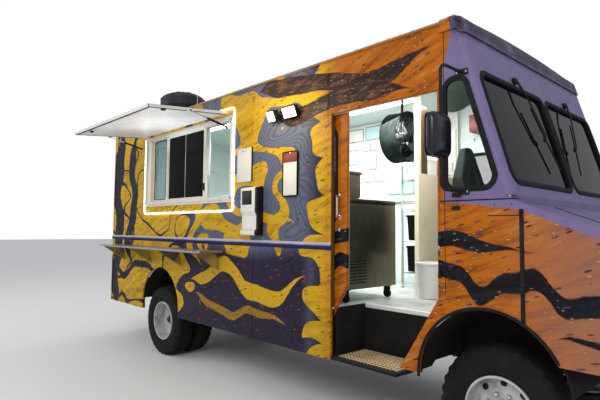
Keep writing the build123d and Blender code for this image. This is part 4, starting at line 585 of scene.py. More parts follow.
# Rubber gaskets round the quarter windows and the windscreen, with a latch under each quarter window
windows = {"low": 1.76, "high": 2.46, "rear": -250, "edge": 0.075, "bend": 0.07,
           "screenLow": 1.79, "screenHigh": 2.49, "screenSide": 0.062, "mullion": 0.06}
gasket = [(-0.014, -0.012), (-0.014, 0.006), (-0.006, 0.010), (0.012, 0.010), (0.020, 0.005), (0.020, -0.002)]
low, high = windows["low"], windows["high"]
for side, name in sideNames.items():
    trim = Piece(f"{name}QuarterGasket", "rubber")
    outline = roundedLoop([(at(windows["rear"]), low), (frontX(low) - windows["edge"], low),
                           (frontX(high) - windows["edge"], high), (at(windows["rear"]), high)],
                           windows["bend"], 8)
    trim.rim(onPlane(outline, (0, sideY(side), 0), forwardWay, upWay), leftWay * side, gasket)
    trim.blocks((axleX, sideY(side), low), side,
                [("rubber", -0.200, -0.145, 0.002, 0.014, -0.052, -0.026, 0.003)])
    trim.done("body", "black_plastic")

screen = Piece("windscreenGasket", "rubber")
paneHeight = (windows["screenHigh"] - windows["screenLow"]) / leanUp.z
paneWidth = halfWidth - windows["screenSide"] - windows["mullion"] / 2
screenFoot = Vector((frontX(windows["screenLow"]), middleY, windows["screenLow"]))
for side in sideNames:
    hub = screenFoot + leftWay * side * (windows["mullion"] + paneWidth) / 2 + leanUp * paneHeight / 2
    screen.rim(onPlane(box2(paneWidth, paneHeight, 0.07, 8), hub, leftWay, leanUp), leanOut, gasket)
screen.done("body", "black_plastic")

# Wipers hung from above the windscreen
wipers = Piece("windscreenWipers", "black")
for side in sideNames:
    hub = screenFoot + leftWay * side * 0.48 + leanUp * (paneHeight + 0.05)
    wipers.turned(hub, leanOut, [(0.026, 0.0), (0.026, 0.018), (0.016, 0.03), (0.0, 0.032)], 16)
    tip = screenFoot + leftWay * side * 0.30 + leanUp * 0.36 + leanOut * 0.022
    arm = [hub + leanOut * 0.024, hub.lerp(tip, 0.3) + leanOut * 0.03, tip + leanOut * 0.012]
    wipers.tube(arm, [0.008, 0.006, 0.005], 8)
    lean = (leanUp * 0.93 + leftWay * side * 0.37).normalized()
    wipers.tube([tip - lean * 0.24, tip, tip + lean * 0.24], 0.006, 6)
    wipers.block(tip - Vector((0.012, 0.012, 0.02)), tip + Vector((0.012, 0.012, 0.02)), 0.004)
wipers.done("body", "black_plastic")

# Seams, strips, rivets and lugs of the cab, with a narrow angle along the doorway's front edge
for side, name in sideNames.items():
    strip = Piece(f"{name}CabSeams", "rubber")
    strip.blocks((axleX, sideY(side), 0), side, [
        ("rubber", 0.211, 0.235, -0.004, 0.006, 0.985, 1.625, 0.003),
        ("rubber", -0.290, 0.213, -0.003, 0.003, 1.683, 1.690, 0.001),
        ("rubber", 0.023, 0.211, -0.003, 0.002, 1.588, 1.593, 0.0008),
        ("rubber", -0.257, -0.253, -0.003, 0.0015, 1.10, 2.80, 0.0005),
        ("body", -0.304, -0.292, -0.004, 0.004, 1.075, 2.405, 0.002),
        ("black", -0.205, -0.150, -0.001, 0.012, 1.628, 1.652, 0.004),
        ("black", -0.302, -0.280, -0.001, 0.012, 1.42, 1.455, 0.003),
        ("black", -0.302, -0.280, -0.001, 0.012, 1.20, 1.235, 0.003),
    ])
    rivets = [(doorX + 0.03, 1.12 + 0.14 * i) for i in range(12)]
    rivets += [(doorX + 0.07 + 0.1 * i, 1.655) for i in range(5)]
    strip.use("iron").studs([(x, sideY(side), z) for x, z in rivets], leftWay * side, 0.005, 0.0025)
    strip.studs([(seamX, sideY(side, 0.004), 1.03 + 0.17 * i) for i in range(4)], leftWay * side, 0.006,
                0.004)
    strip.done("body", "black_plastic")

# Wall seams in two spans, above and below the rub rail, with rivets on them and along the rail
wallSeams = {"right": (-5430, -5060, -4540, -2250, -1290), "left": (-5430, -4300, -3160, -2020, -1290)}
railZ = 1.369
for side, name in sideNames.items():
    seam = Piece(f"{name}WallSeams", "body")
    rivets = []
    for station in wallSeams[name]:
        for low, high in ((0.51, 1.335), (1.403, 2.80)):
            seam.block((at(station) - 0.019, sideY(side, -0.002), low),
                       (at(station) + 0.019, sideY(side, 0.0022), high), 0.001)
        for z in [0.56 + i * 0.103 for i in range(22)]:
            if abs(z - railZ) > 0.05:
                rivets += [(at(station) - 0.009, sideY(side, 0.002), z),
                           (at(station) + 0.009, sideY(side, 0.002), z + 0.05)]
    seam.use("iron").studs(rivets, leftWay * side, 0.0045, 0.0022)
    along = [rearX + 0.05 + i * 0.095 for i in range(44)]
    seam.studs([(x, sideY(side, 0.014), railZ) for x in along if x < jambX - 0.02], leftWay * side, 0.005,
               0.003)
    seam.done("body", "body_paint")
print("gaskets and seams ready")

# Black lips round the front wheel arches
arches = Piece("archLips", "rubber")
for side in sideNames:
    angles = [radians(-14 + 208 * i / 40) for i in range(41)]
    path = [(axleX + 0.455 * cos(a), sideY(side, 0.001), 0.585 + 0.455 * sin(a)) for a in angles]
    arches.tube([p for p in path if p[2] > (0.53 if p[0] < axleX else 0.79)], 0.010, 8)
arches.done("body", "black_plastic")

# Roof: gutters with rivets along both sides, and raised seams across
roofTrim = Piece("roofTrim", "body")
gutter = [(-0.012, -0.006), (-0.012, 0.006), (0.0, 0.012), (0.008, 0.010), (0.012, 0.0), (0.004, -0.006)]
for side in sideNames:
    roofTrim.loft([[Vector((x, sideY(side, a), 2.842 + b)) for a, b in gutter]
                   for x in (rearX + 0.02, doorX + 0.15)])
for side in sideNames:
    roofTrim.studs([(rearX + 0.06 + 0.1 * i, sideY(side), 2.866) for i in range(50)], leftWay * side, 0.004,
                   0.0015)
roofTrim.use("roof")
seamSection = ((-0.03, -0.004), (-0.02, 0.008), (0.02, 0.008), (0.03, -0.004))
acrossRoof = [middleY + (halfWidth - 0.05) * (i / 12 - 1) for i in range(25)]
for station in (-4900, -3700, -2600, -1500, -600):
    roofTrim.loft([[Vector((at(station) + a, y, roofHeight(y) + b)) for a, b in seamSection]
                   for y in acrossRoof])

# Front cap: one folded sheet over the header, wrapped round both corners
capPlan = {"side": 2.783, "front": 2.755, "top": 2.872, "proud": 0.013, "bend": 0.055, "over": 0.07}
corner = [i / 8 for i in range(9)]
stations = [(-1, -0.28, 0.0), (-1, -0.20, 0.0)] + [(-1, None, share) for share in corner]
stations += [(0, None, i / 12) for i in range(1, 12)]
stations += [(1, None, share) for share in corner[::-1]] + [(1, -0.20, 0.0), (1, -0.28, 0.0)]
# columns: how far out, how far up, and which of the two edges tucked under the cap
section = ((0.0, 0.0, 0), (1.0, 0.0, 0), (1.0, 0.72, 0), (0.86, 0.90, 0), (0.35, 1.0, 0), (0.0, 0.0, 1),
           (0.0, 0.0, 2))
rows = []
bend, top = capPlan["bend"], capPlan["top"]
for side, x, share in stations:
    row = []
    foot = capPlan["side"] if (x is not None or share < 0.3) and side else capPlan["front"]
    for out, rise, inner in section:
        z = top if inner else foot + (top - foot) * rise
        proud = capPlan["proud"] * out - capPlan["over"] * inner / 2
        hubX = frontX(z) - bend
        if x is not None:
            spot = Vector((axleX + x, sideY(side, proud), z))
        elif side:
            angle, reach = pi / 2 * share, bend + proud
            spot = Vector((hubX + reach * sin(angle), sideY(side, -bend) + side * reach * cos(angle), z))
        else:
            spot = Vector((hubX + bend + proud, middleY + (halfWidth - bend) * (2 * share - 1), z))
        if inner:
            drop = max(0.0, spot.x - frontX(2.925) + 0.04) * 0.5
            spot.z = roofHeight(min(max(spot.y, rightY), leftY)) + (0.010, 0.001)[inner - 1] - drop
        row.append(spot)
    rows.append(row)
roofTrim.use("body").loft(rows)
roofTrim.done("body", "pale_paint")
print("roof trims ready")

# Serving window, in metres from the front axle: flange, two framed panes, stile, track and a small lock
serving = {"rear": -4.457, "front": -2.575, "low": 1.785, "high": 2.61, "bars": (-3.900, -3.075),
           "stile": -4.245}
low, high = serving["low"], serving["high"]
glassEnd, boardStart = serving["bars"][0] - 0.016, serving["bars"][0] + 0.016
boardEnd, openRear = serving["bars"][1] - 0.016, serving["bars"][1] + 0.016
openFront = serving["front"] - 0.032
face = (axleX, rightY, 0)
sash = Piece("servingSashes", "sill")
outline = between(serving["rear"], serving["front"], low, high, 0.012, 2)
flange = [(-0.034, 0.0), (-0.034, 0.017), (-0.004, 0.017), (-0.004, 0.006), (0.020, 0.006), (0.022, 0.001)]
sash.rim(onPlane(outline, face, forwardWay, upWay), -leftWay, flange)
for start, end in ((serving["stile"], glassEnd), (boardStart, boardEnd)):
    outline = between(start + 0.012, end - 0.012, low + 0.044, high - 0.044, 0.01, 2)
    sash.rim(onPlane(outline, (axleX, rightY + 0.004, 0), forwardWay, upWay), -leftWay,
             [(-0.012, -0.006), (-0.012, 0.009), (0.010, 0.009), (0.010, -0.006)])
sash.blocks(face, -1, [
    ("white", serving["rear"] + 0.034, -4.330, 0.004, -0.001, low + 0.034, high - 0.034, 0.002),
    ("cream", -4.328, serving["stile"] + 0.002, 0.003, -0.001, low + 0.034, high - 0.034, 0.002),
    ("alloy", openRear + 0.01, openRear + 0.045, -0.006, -0.02, low + 0.034, high - 0.036, 0.003),
    ("black", openRear - 0.026, openRear - 0.006, 0.030, 0.013, 1.90, 1.98, 0.004),
] + [("alloy", openRear, openFront, out, out - 0.005, z, z + 0.010, 0.002)
     for z in (low + 0.036, high - 0.046) for out in (0.008, -0.022)])
outline = between(serving["stile"] + 0.023, glassEnd - 0.023, low + 0.055, high - 0.055, 0.01, 2)
sash.use("rubber").rim(onPlane(outline, face, forwardWay, upWay), -leftWay,
                       [(-0.004, -0.002), (-0.004, 0.008), (0.003, 0.008), (0.003, -0.002)])
screws = [(axleX + serving["rear"] + 0.08 + 0.2 * i, rightY - 0.006, z) for i in range(10)
          for z in (low - 0.010, high + 0.010)]
sash.use("iron").studs(screws, -leftWay, 0.0045, 0.002)
sash.done("body", "window_frame")

# Menu board: blank black face in two panels with a thin pale bar between them
menu = Piece("menuFace", "board")
start, end = boardStart + 0.022, boardEnd - 0.022
bar = (start + end) / 2
menu.blocks(face, -1, [
    ("board", start, bar - 0.004, 0.006, -0.001, low + 0.056, high - 0.056, 0.002),
    ("board", bar + 0.004, end, 0.006, -0.001, low + 0.056, high - 0.056, 0.002),
    ("alloy", bar - 0.004, bar + 0.004, 0.0075, 0.001, low + 0.056, high - 0.056, 0.001),
])
menu.done("body", "board")

# Clips of the rope light
clips = Piece("ropeClips", "plate")
ropeLow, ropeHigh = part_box("light_rope")
step = (ropeHigh.x - ropeLow.x - 0.36) / 6
clips.blocks((ropeLow.x + 0.18, rightY, ropeLow.z), -1, [
    ("plate", i * step - 0.007, i * step + 0.007, 0.020, 0.0, -0.010, 0.026, 0.003) for i in range(7)])
for x in (ropeLow.x + 0.008, ropeHigh.x - 0.008):
    clips.blocks((x, rightY, 0), -1, [
        ("plate", -0.017, 0.017, 0.020, 0.0, z - 0.007, z + 0.007, 0.003) for z in (1.80, 2.05, 2.30, 2.52)])
clips.done("body", "white_board")

# Awning: edge angles in black paint, a painted shade along the panel's edges, studs and two latches
awningPlan = {"droop": radians(5), "rear": at(-4497), "front": at(-2640), "depth": 0.84, "hingeOut": 0.035,
              "hingeZ": 2.653}
awningOut = Vector((0, -cos(awningPlan["droop"]), -sin(awningPlan["droop"])))
awningUp = Vector((0, -sin(awningPlan["droop"]), cos(awningPlan["droop"])))
rear, front, depth = awningPlan["rear"], awningPlan["front"], awningPlan["depth"]


def onAwning(x, out, up):
    hinge = Vector((x, rightY - awningPlan["hingeOut"], awningPlan["hingeZ"]))
    return hinge + awningOut * out + awningUp * up


# the edge angles are black, standing in for the shade on the panel's edges
cover = Piece("awningTrim", "frame")
angleSection = ((0.030, -0.0145), (0.001, -0.0145), (0.001, 0.0145), (0.030, 0.0145), (0.030, 0.0130),
                (0.002, 0.0125), (0.002, -0.0125), (0.030, -0.0130))
corners = ((rear, 0.016), (rear, depth - 0.0005), (front, depth - 0.0005), (front, 0.016))
edge = [onAwning(x, out, 0) for x, out in corners]
for a, b in zip(edge, edge[1:]):
    inward = awningUp.cross((b - a).normalized())
    cover.loft([[end + inward * p + awningUp * q for p, q in angleSection] for end in (a, b)])
cover.use("iron")
for face in (-1, 1):
    places = [onAwning(rear + 0.06 + 0.116 * i, depth - 0.018, face * 0.0145) for i in range(16)]
    cover.studs(places, awningUp * face, 0.005, 0.003)
cover.use("black")
for x, out in ((rear + 0.35, depth - 0.062), (front - 0.03, depth - 0.16)):
    place = onAwning(x, out, -0.020)
    cover.block(place - Vector((0.022, 0.016, 0.010)), place + Vector((0.022, 0.016, 0.008)), 0.004)
    cover.tube([place + Vector((0, -0.01, -0.006)), place + Vector((0, 0.008, -0.009))], 0.004, 6)
cover.done("awning", "awning_skin")
print("window and awning ready")

# Right wall: notice board, second board with a clip, dispenser with its tray, and a twin floodlight
fittings = Piece("wallFittings", "plate")
wall = (axleX, rightY - 0.0004, 0)
fittings.blocks(wall, -1, [
    ("plate", -1.812, -1.622, 0.012, 0.0, 1.780, 2.165, 0.003),
    ("brown", -1.806, -1.628, 0.0142, 0.010, 2.072, 2.160, 0.001),
    ("plate", -2.492, -2.258, 0.009, 0.0, 1.945, 2.270, 0.003),
    ("board", -2.262, -2.253, 0.013, 0.0, 1.943, 2.272, 0.002),
    ("bright", -2.405, -2.345, 0.014, 0.006, 2.240, 2.268, 0.003),
    ("black", -2.306, -2.160, 0.0812, 0.077, 1.72, 1.85, 0.003),
    ("steel", -2.318, -2.130, 0.0795, 0.012, 1.4855, 1.4925, 0.002),
] + [("steel", -2.308 + i * 0.034, -2.296 + i * 0.034, 0.077, 0.02, 1.4915, 1.4955, 0.001) for i in range(5)])
wallX, wallY = at(-1717), wall[1]
board = onPlane(box2(0.186, 0.381, 0.008, 3), (wallX, wallY - 0.012, 1.9725), forwardWay, upWay)
fittings.use("board").rim(board, -leftWay,
                          [(-0.006, -0.002), (-0.006, 0.004), (0.004, 0.004), (0.004, -0.010)])
fittings.use("bright").studs([(wallX, wallY - 0.013, 2.150), (wallX, wallY - 0.012, 1.795)], -leftWay, 0.008,
                             0.004, 10)
case = roundedLoop([(0.0, 1.44), (0.080, 1.44), (0.080, 1.485), (0.060, 1.50), (0.060, 1.62), (0.079, 1.66),
                    (0.079, 1.875), (0.0, 1.893)], 0.012, 3)
fittings.use("plate").plate(case, (at(-2332), wallY, 0), -leftWay, upWay, -0.215, 0.006)
fittings.use("black").plate(case, (at(-2116), wallY, 0), -leftWay, upWay, -0.030, 0.004)
spout = [(0.012, 0), (0.012, 0.03), (0.008, 0.05), (0.008, 0.06)]
fittings.use("steel").turned((at(-2234), wallY - 0.052, 1.665), (0, 0, -1), spout, 14)
hub = Vector((at(-1790), wallY, 2.50))
fittings.blocks(hub, -1, [("frame", -0.06, 0.06, 0.022, 0.0, -0.05, 0.05, 0.006)])
fittings.tube([hub + Vector((-0.15, -0.035, 0.0)), hub + Vector((0.15, -0.035, 0.0))], 0.010, 8)
# each head is tipped down and outward: case, fins behind it, and a warm lens
head = [("frame", -0.072, 0.072, -0.012, 0.020, -0.052, 0.052, 0.010)]
head += [("frame", -0.066 + i * 0.022, -0.058 + i * 0.022, 0.018, 0.036, -0.046, 0.046, 0.0015)
         for i in range(7)]
head.append(("warm", -0.062, 0.062, -0.016, -0.010, -0.042, 0.042, 0.002))
for side in sideNames:
    middle = hub + Vector((side * 0.118, -0.062, -0.008))
    turn = Matrix.Rotation(radians(24), 3, "X") @ Matrix.Rotation(radians(side * 14), 3, "Z")
    start = len(fittings.points)
    fittings.blocks((0, 0, 0), 1, head)
    fittings.points[start:] = [tuple(turn @ Vector(p) + middle) for p in fittings.points[start:]]
fittings.done("body", "white_board", ["wall_fittings"])

# Wheels: tyres with ribs round the tread and notches cut in the shoulders
wheels = {"radius": 0.40, "rim": 0.216, "blocks": 66, "width": 0.215}


def tyreForm(piece, x, y, width):
    half, radius, rim = width / 2, wheels["radius"], wheels["rim"]
    tread = half * 0.80
    # columns: across, radius, notched
    wall = [(-half * 0.62, rim - 0.002, 0), (-half * 0.80, rim + 0.008, 0), (-half * 0.90, rim + 0.03, 0),
            (-half * 0.985, rim + 0.075, 0), (-half, rim + 0.085, 0), (-half * 0.985, rim + 0.095, 0),
            (-half * 0.985, rim + 0.125, 0), (-half * 0.94, radius - 0.035, 0),
            (-half * 0.90, radius - 0.022, 1), (-tread, radius - 0.006, 1)]
    grooves = [(tread * middle + w, radius - depth, 0) for middle in (-0.52, -0.20, 0.20, 0.52)
               for w, depth in ((-0.006, 0.001), (-0.004, 0.012), (0.004, 0.012), (0.006, 0.001))]
    profile = wall + grooves + [(-a, b, c) for a, b, c in wall[::-1]]
    rows = []
    for i, (a, b) in enumerate(circle(wheels["blocks"] * 2)):
        cut = 0.011 if i % 4 < 2 else 0.0
        rows.append([(x + a * (r - cut * notch), y + across, wheelZ + b * (r - cut * notch))
                     for across, r, notch in profile])
    piece.loft(rows, True)


for side, name in sideNames.items():
    for node, body in ((f"front_tyre_{name}", f"front_wheel_{name}"),
                       (f"rear_tyres_{name}", f"rear_wheels_{name}")):
        low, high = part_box(node)
        half = wheels["width"] / 2
        tyre = Piece(("frontTyre_" if "front" in node else "rearTyres_") + name, "tyre")
        for y in [(low.y + high.y) / 2] if "front" in node else [low.y + half, high.y - half]:
            tyreForm(tyre, (low.x + high.x) / 2, y, high.y - low.y if "front" in node else wheels["width"])
        tyre.done(body, "tyre", [node], 25)
rearAxleX = (low.x + high.x) / 2
print("tyres ready")

# Hubs: nuts, dark discs that stand for the front discs' hand holes as painted shade, caps, and the rear hub's
# bolts
for side, name in sideNames.items():
    skin = leftWay * side
    hub = Vector((axleX, sideY(side, -0.26), wheelZ))
    trim = Piece(f"frontHub_{name}", "rim")
    nut = [(0.016, 0.0), (0.016, 0.016), (0.011, 0.022), (0.0, 0.024)]
    hole = [(0.021, -0.004), (0.021, 0.003), (0.016, 0.004), (0.0, 0.003)]
    for a, b in circle(8, 0.5):
        trim.use("bright").turned(hub + Vector((a, 0, b)) * 0.103 + skin * 0.028, skin, nut, 6)
    # each hand hole is a dark disc on the face, a painted shade in place of the opening
    for a, b in circle(8, 0.5 + 0.39 * 4 / pi):
        trim.use("rubber").turned(hub + Vector((a, 0, b)) * 0.166 + skin * 0.0225, skin, hole, 14)
    cap = [(0.069, -0.02), (0.069, 0.004), (0.060, 0.014), (0.020, 0.017), (0.0, 0.017)]
    trim.use("iron").turned(hub + skin * 0.088, skin, cap, 28)
    trim.use("bright").turned(hub + skin * 0.10, skin, [(0.030, 0.0), (0.030, 0.006), (0.0, 0.008)], 8)
    trim.done(f"front_wheel_{name}", "bright")
    hub = Vector((rearAxleX, sideY(side, -0.1475), wheelZ))
    trim = Piece(f"rearHub_{name}", "rim")
    nut = [(0.016, 0.0), (0.016, 0.020), (0.011, 0.026), (0.0, 0.028)]
    for a, b in circle(8, 0.5):
        trim.use("bright").turned(hub + Vector((a, 0, b)) * 0.110 - skin * 0.076, skin, nut, 6)
    cap = [(0.084, -0.02), (0.084, 0.006), (0.070, 0.016), (0.058, 0.030), (0.0, 0.032)]
    trim.use("iron").turned(hub - skin * 0.045, skin, cap, 28)
    trim.studs([hub + Vector((a, 0, b)) * 0.070 - skin * 0.033 for a, b in circle(8)], skin, 0.008, 0.008)
    trim.done(f"rear_wheels_{name}", "bright")

# Mirrors: clamped tube, a housing whose rings crown forward, and a silvered face that looks back
mirrorPlan = {"x": at(-130), "out": 0.25, "low": 1.741, "high": 2.489, "z": 2.06, "headOut": 0.2525,
              "bend": 0.05}
rings = [(-0.030, 1.0), (-0.030, 0.93), (-0.022, 0.93), (-0.022, 0.97), (-0.006, 1.0), (0.012, 0.98),
         (0.024, 0.90), (0.030, 0.72)]
mirrors = Piece("mirrorHeads", "black")
x, low, high, bend = mirrorPlan["x"], mirrorPlan["low"], mirrorPlan["high"], mirrorPlan["bend"]
quarter = circle(20)[:6]
for side in sideNames:
    y = sideY(side, mirrorPlan["out"])
    foot = sideY(side, 0.001)
    path = [(x, foot, low)] + [(x, y - side * bend * (1 - b), low + bend * (1 - a)) for a, b in quarter]
    path += [(x, y - side * bend * (1 - a), high - bend * (1 - b)) for a, b in quarter] + [(x, foot, high)]
    mirrors.use("frame").tube(path, 0.010, 10)
    for z in (low, high):
        mirrors.blocks((x, sideY(side), z), side,
                       [("frame", -0.045, 0.045, 0.0003, 0.009, -0.020, 0.020, 0.003)])
        screws = [(x + w, sideY(side, 0.009), z) for w in (-0.032, 0.032)]
        mirrors.use("bright").studs(screws, leftWay * side, 0.007, 0.004)
    hub = Vector((x - 0.010, sideY(side, mirrorPlan["headOut"]), mirrorPlan["z"]))
    outline = box2(0.215, 0.26, 0.045, 6)
    mirrors.use("mirror").loft([[hub + Vector((depth, a * size, b * size)) for a, b in outline]
                                for depth, size in rings])
    face = [(a * 0.9, b * 0.9) for a, b in outline]
    mirrors.use("bright").plate(face, hub - forwardWay * 0.0335, leftWay, upWay, 0.003)
    mirrors.blocks((x, y, hub.z), 1, [("frame", -0.020, 0.024, -0.022, 0.022, -0.04, 0.04, 0.006)])
mirrors.done("body", "black_plastic", ["mirrors"])
print("hubs and mirrors ready")

# Lamps: bezels, domed lenses, turn lamps and tail lamps on both sides, and the roof's markers
bezel = [(0.086, -0.030), (0.120, -0.002), (0.122, 0.008), (0.112, 0.014), (0.094, 0.010), (0.086, -0.004)]
bowl = [(0.0, -0.004), (0.03, 0.0), (0.07, 0.022), (0.087, 0.046), (0.089, 0.040), (0.07, 0.014),
        (0.0, -0.010)]
dome = [(0.088, -0.004)] + [(0.088 * a, 0.022 * b) for a, b in circle(24)[:6]] + [(0.0, 0.022)]
lamps = Piece("lampLenses", "amber")
for side in sideNames:
    hub = Vector((noseX, middleY + side * (halfWidth - 0.32), 1.11))
    lamps.use("bright").turned(hub, forwardWay, bezel, 40, True)
    lamps.turned(hub - forwardWay * 0.052, forwardWay, bowl, 32)
    lamps.use("lens").turned(hub, forwardWay, dome, 40)
    turnHub = hub - upWay * 0.19
    lamps.use("black").plate(box2(0.150, 0.060, 0.029), turnHub, leftWay, upWay, 0.010, 0.002)
    lamps.use("amber").plate(box2(0.132, 0.044, 0.021), turnHub + forwardWay * 0.0095, leftWay, upWay, 0.016,
                             0.005, 3)
    tail = Vector((rearX - 0.0003, middleY + side * (halfWidth - 0.13), 0.76))
    lamps.use("black").plate(box2(0.112, 0.192, 0.026, 5), tail, -leftWay, upWay, 0.008, 0.002)
    for low, high, finish in ((-0.086, -0.034, "lens"), (-0.031, 0.086, "red")):
        outline = between(-0.046, 0.046, low, high, 0.014, 4)
        lamps.use(finish).plate(outline, tail - forwardWay * 0.007, -leftWay, upWay, 0.020, 0.005, 3)
oval = [(0.022 * a, 0.05 * b) for a, b in circle(24)]
for offset in (-0.95, -0.165, 0.0, 0.165, 0.95):
    crownZ = roofHeight(middleY + max(0.0, abs(offset) - 0.05))
    hub = Vector((frontX(2.925) - 0.062, middleY + offset, crownZ))
    lamps.use("black").plate(oval, hub + upWay * 0.0003, forwardWay, leftWay, 0.009, 0.002)
    lamps.use("amber").loft([[hub + Vector((a * size, b * size, rise)) for a, b in oval] for size, rise in (
        (0.86, 0.008), (0.84, 0.020), (0.66, 0.030), (0.36, 0.0335))])
lamps.done("body", "lamp_glass", ["lamps"])

# Hood: two raised ribs and two latches
slope = (1.659 - 1.42) / (noseX - seamX)
hoodUp = Vector((slope, 0, 1)).normalized()


def hoodStrip(piece, offset, start, end, section):
    # a strip that runs down the hood's slope
    ends = [Vector((x, middleY + offset, 1.659 - (x - seamX) * slope)) for x in (start, end)]
    piece.loft([[p + leftWay * w + hoodUp * h for w, h in section] for p in ends])


hoodTrim = Piece("hoodTrim", "body")
for side in sideNames:
    hoodStrip(hoodTrim, side * 0.38, seamX + 0.09, noseX - 0.16,
              ((-0.02, -0.001), (-0.008, 0.009), (0.008, 0.009), (0.02, -0.001)))
x = noseX - 0.155
for side in sideNames:
    place = (x, middleY + side * 0.50, 1.659 - (x - seamX) * slope)
    hoodTrim.blocks(place, 1, [("black", -0.03, 0.026, -0.022, 0.022, -0.002, 0.018, 0.006)])
hoodTrim.done("hood", "pale_paint")

# Nose: fender seams, the grille's surround, its mesh and four pairs of bolts
nose = Piece("noseTrim", "rubber")
for side in sideNames:
    hoodStrip(nose, side * (halfWidth - 0.405), seamX + 0.03, noseX - 0.13,
              ((-0.006, -0.001), (-0.006, 0.003), (0.006, 0.003), (0.006, -0.001)))
grilleHalf = halfWidth - 0.62
grille = onPlane(box2(2 * grilleHalf + 0.03, 0.37, 0.03, 4), (noseX, middleY, 1.10), leftWay, upWay)
nose.use("frame").rim(grille, forwardWay,
                      [(-0.016, -0.004), (-0.016, 0.010), (0.014, 0.008), (0.014, -0.002)])
nose.use("iron")
for y in [middleY - grilleHalf + 0.019 + i * 0.0198 for i in range(44)]:
    nose.tube([(noseX - 0.032, y, 0.945), (noseX - 0.032, y, 1.255)], 0.0016, 4)
for z in [0.95 + i * 0.02 for i in range(16)]:
    nose.tube([(noseX - 0.034, middleY + side * (grilleHalf - 0.012), z) for side in sideNames], 0.0016, 4)
bolts = [(noseX, middleY + w, z) for w in (-0.52, -0.49, 0.49, 0.52) for z in (0.84, 1.34)]
nose.studs(bolts, forwardWay, 0.006, 0.003)
nose.done("body", "frame_paint")

# Bumpers: tread pads on the front one, grip ribs on the rear step, and a blank plate on two bars
bumper = Piece("bumperTrim", "frame")
bumper.blocks((noseX + 0.12, middleY, 0), 1, [
    ("frame", -0.070, -0.012, y - 0.07, y + 0.07, 0.668, 0.6735, 0.002)
    for y in [i * 0.21 - 0.84 for i in range(9)]])
bumper.use("plate").plate(box2(0.305, 0.145, 0.012, 4), (noseX - 0.001, middleY, 0.800), leftWay, upWay,
                          0.004, 0.001)
bumper.blocks((noseX, middleY, 0), 1, [
    ("frame", -0.006, -0.0005, y - 0.012, y + 0.012, 0.735, 0.845, 0.001) for y in (-0.09, 0.09)])
screws = [(noseX + 0.003, middleY + w, 0.856) for w in (-0.089, 0.089)]
bumper.use("bright").studs(screws, forwardWay, 0.007, 0.003, 8)
bumper.blocks((rearX, middleY, 0), 1, [
    ("rubber", x - 0.008, x + 0.008, y - 0.055, y + 0.055, 0.5695, 0.5745, 0.002)
    for y in [i * 0.14 - 0.84 for i in range(13) if i != 6] for x in (-0.04, -0.085, -0.130)])
bumper.done("body", "frame_paint")

# Rear number plate, blank, with a small lamp over it
plate = Piece("rearPlate", "plate")
hub = Vector((rearX - 0.006, middleY - 0.83, 1.01))
plate.plate(box2(0.305, 0.152, 0.012, 4), hub, -leftWay, upWay, 0.0025, 0.0008)
plate.rim(onPlane(box2(0.295, 0.142, 0.01, 4), hub - forwardWay * 0.0025, leftWay, upWay), -forwardWay,
          [(-0.003, -0.001), (-0.001, 0.0015), (0.001, 0.0015), (0.003, -0.001)])
plate.blocks(hub, 1, [("black", -0.038, 0.005, -0.035, 0.035, 0.088, 0.112, 0.006)])
plate.done("body", "white_board")

# Rear doors: locking rod with keepers and handle, ribs, gasket and rivets, and hinges on the wall
for side, name in sideNames.items():
    low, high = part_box(f"rear_door_{name}")
    inner, outer = (high.y, low.y) if side < 0 else (low.y, high.y)
    rodY, tall = inner + side * 0.10, high.z - low.z
    door = Piece(f"rearDoorTrim_{name}", "bright")
    door.tube([(low.x - 0.016, rodY, low.z + 0.03), (low.x - 0.016, rodY, high.z - 0.03)], 0.011, 10)
    door.blocks((low.x, rodY, low.z), side, [
        ("bright", -0.030, 0.001, -0.024, 0.024, z - 0.014, z + 0.014, 0.004)
        for z in (0.05, 0.55, 1.0, tall - 0.05)
    ] + [("bright", -0.034, -0.022, -0.012, 0.19, 0.56, 0.59, 0.005)])
    for share in (0.30, 0.52, 0.74):
        place = (low.x, inner + (outer - inner) * share, low.z)
        door.blocks(place, 1, [("body", -0.007, 0.001, -0.012, 0.012, 0.10, tall - 0.10, 0.0035)])
    middle = (low.x + 0.002, (inner + outer) / 2, (low.z + high.z) / 2)
    seal = onPlane(box2(abs(outer - inner) - 0.012, tall - 0.012, 0.01, 2), middle, leftWay, upWay)
    door.use("rubber").rim(seal, -forwardWay,
                           [(-0.004, -0.002), (-0.004, 0.006), (0.004, 0.006), (0.004, -0.002)])
    rivets = [(low.x, y, low.z + 0.06 + i * (tall - 0.12) / 11) for i in range(12)
              for y in (inner + side * 0.025, outer - side * 0.025)]
    door.use("iron").studs(rivets, -forwardWay, 0.005, 0.0025)
    door.done(f"rear_door_{name}", "bright")
    hinges = Piece(f"rearHinges_{name}", "frame")
    edge = middleY + side * 0.597
    for z in (low.z + 0.15, middle[2], high.z - 0.15):
        hinges.tube([(rearX - 0.016, edge + side * 0.022, z + h) for h in (-0.06, 0.06)], 0.008, 10)
        hinges.blocks((rearX, edge, z), side, [
            ("frame", -0.0055, -0.0003, 0.025, 0.10, -0.045, 0.045, 0.002),
            ("frame", -0.016, -0.003, 0.018, 0.030, -0.045, 0.045, 0.002),
        ])
    hinges.done("body", "frame_paint")

# Rear wall: corner angles, drip strip over the doors and red marker lamps
rear = Piece("rearTrim", "body")
corners = [(0, 0), (0.045, 0), (0.045, 0.012), (0.012, 0.012), (0.012, 0.045), (0, 0.045)]
angle = roundedLoop(corners, 0.004, 2)
for side in sideNames:
    rear.plate(angle, (rearX - 0.004, sideY(side, 0.004), 0.51), forwardWay, -leftWay * side, -2.31 * side)
rear.blocks((rearX, middleY, 0), 1, [("alloy", -0.022, -0.0005, -0.68, 0.68, 2.452, 2.462, 0.003)])
for y in [middleY + offset for offset in (-0.85, -0.17, 0.0, 0.17, 0.85)]:
    rear.use("red").block((rearX - 0.020, y - 0.045, 2.70), (rearX - 0.001, y + 0.045, 2.728), 0.007, 3)
rear.done("body", "body_paint")
print("lamps, nose and rear ready")

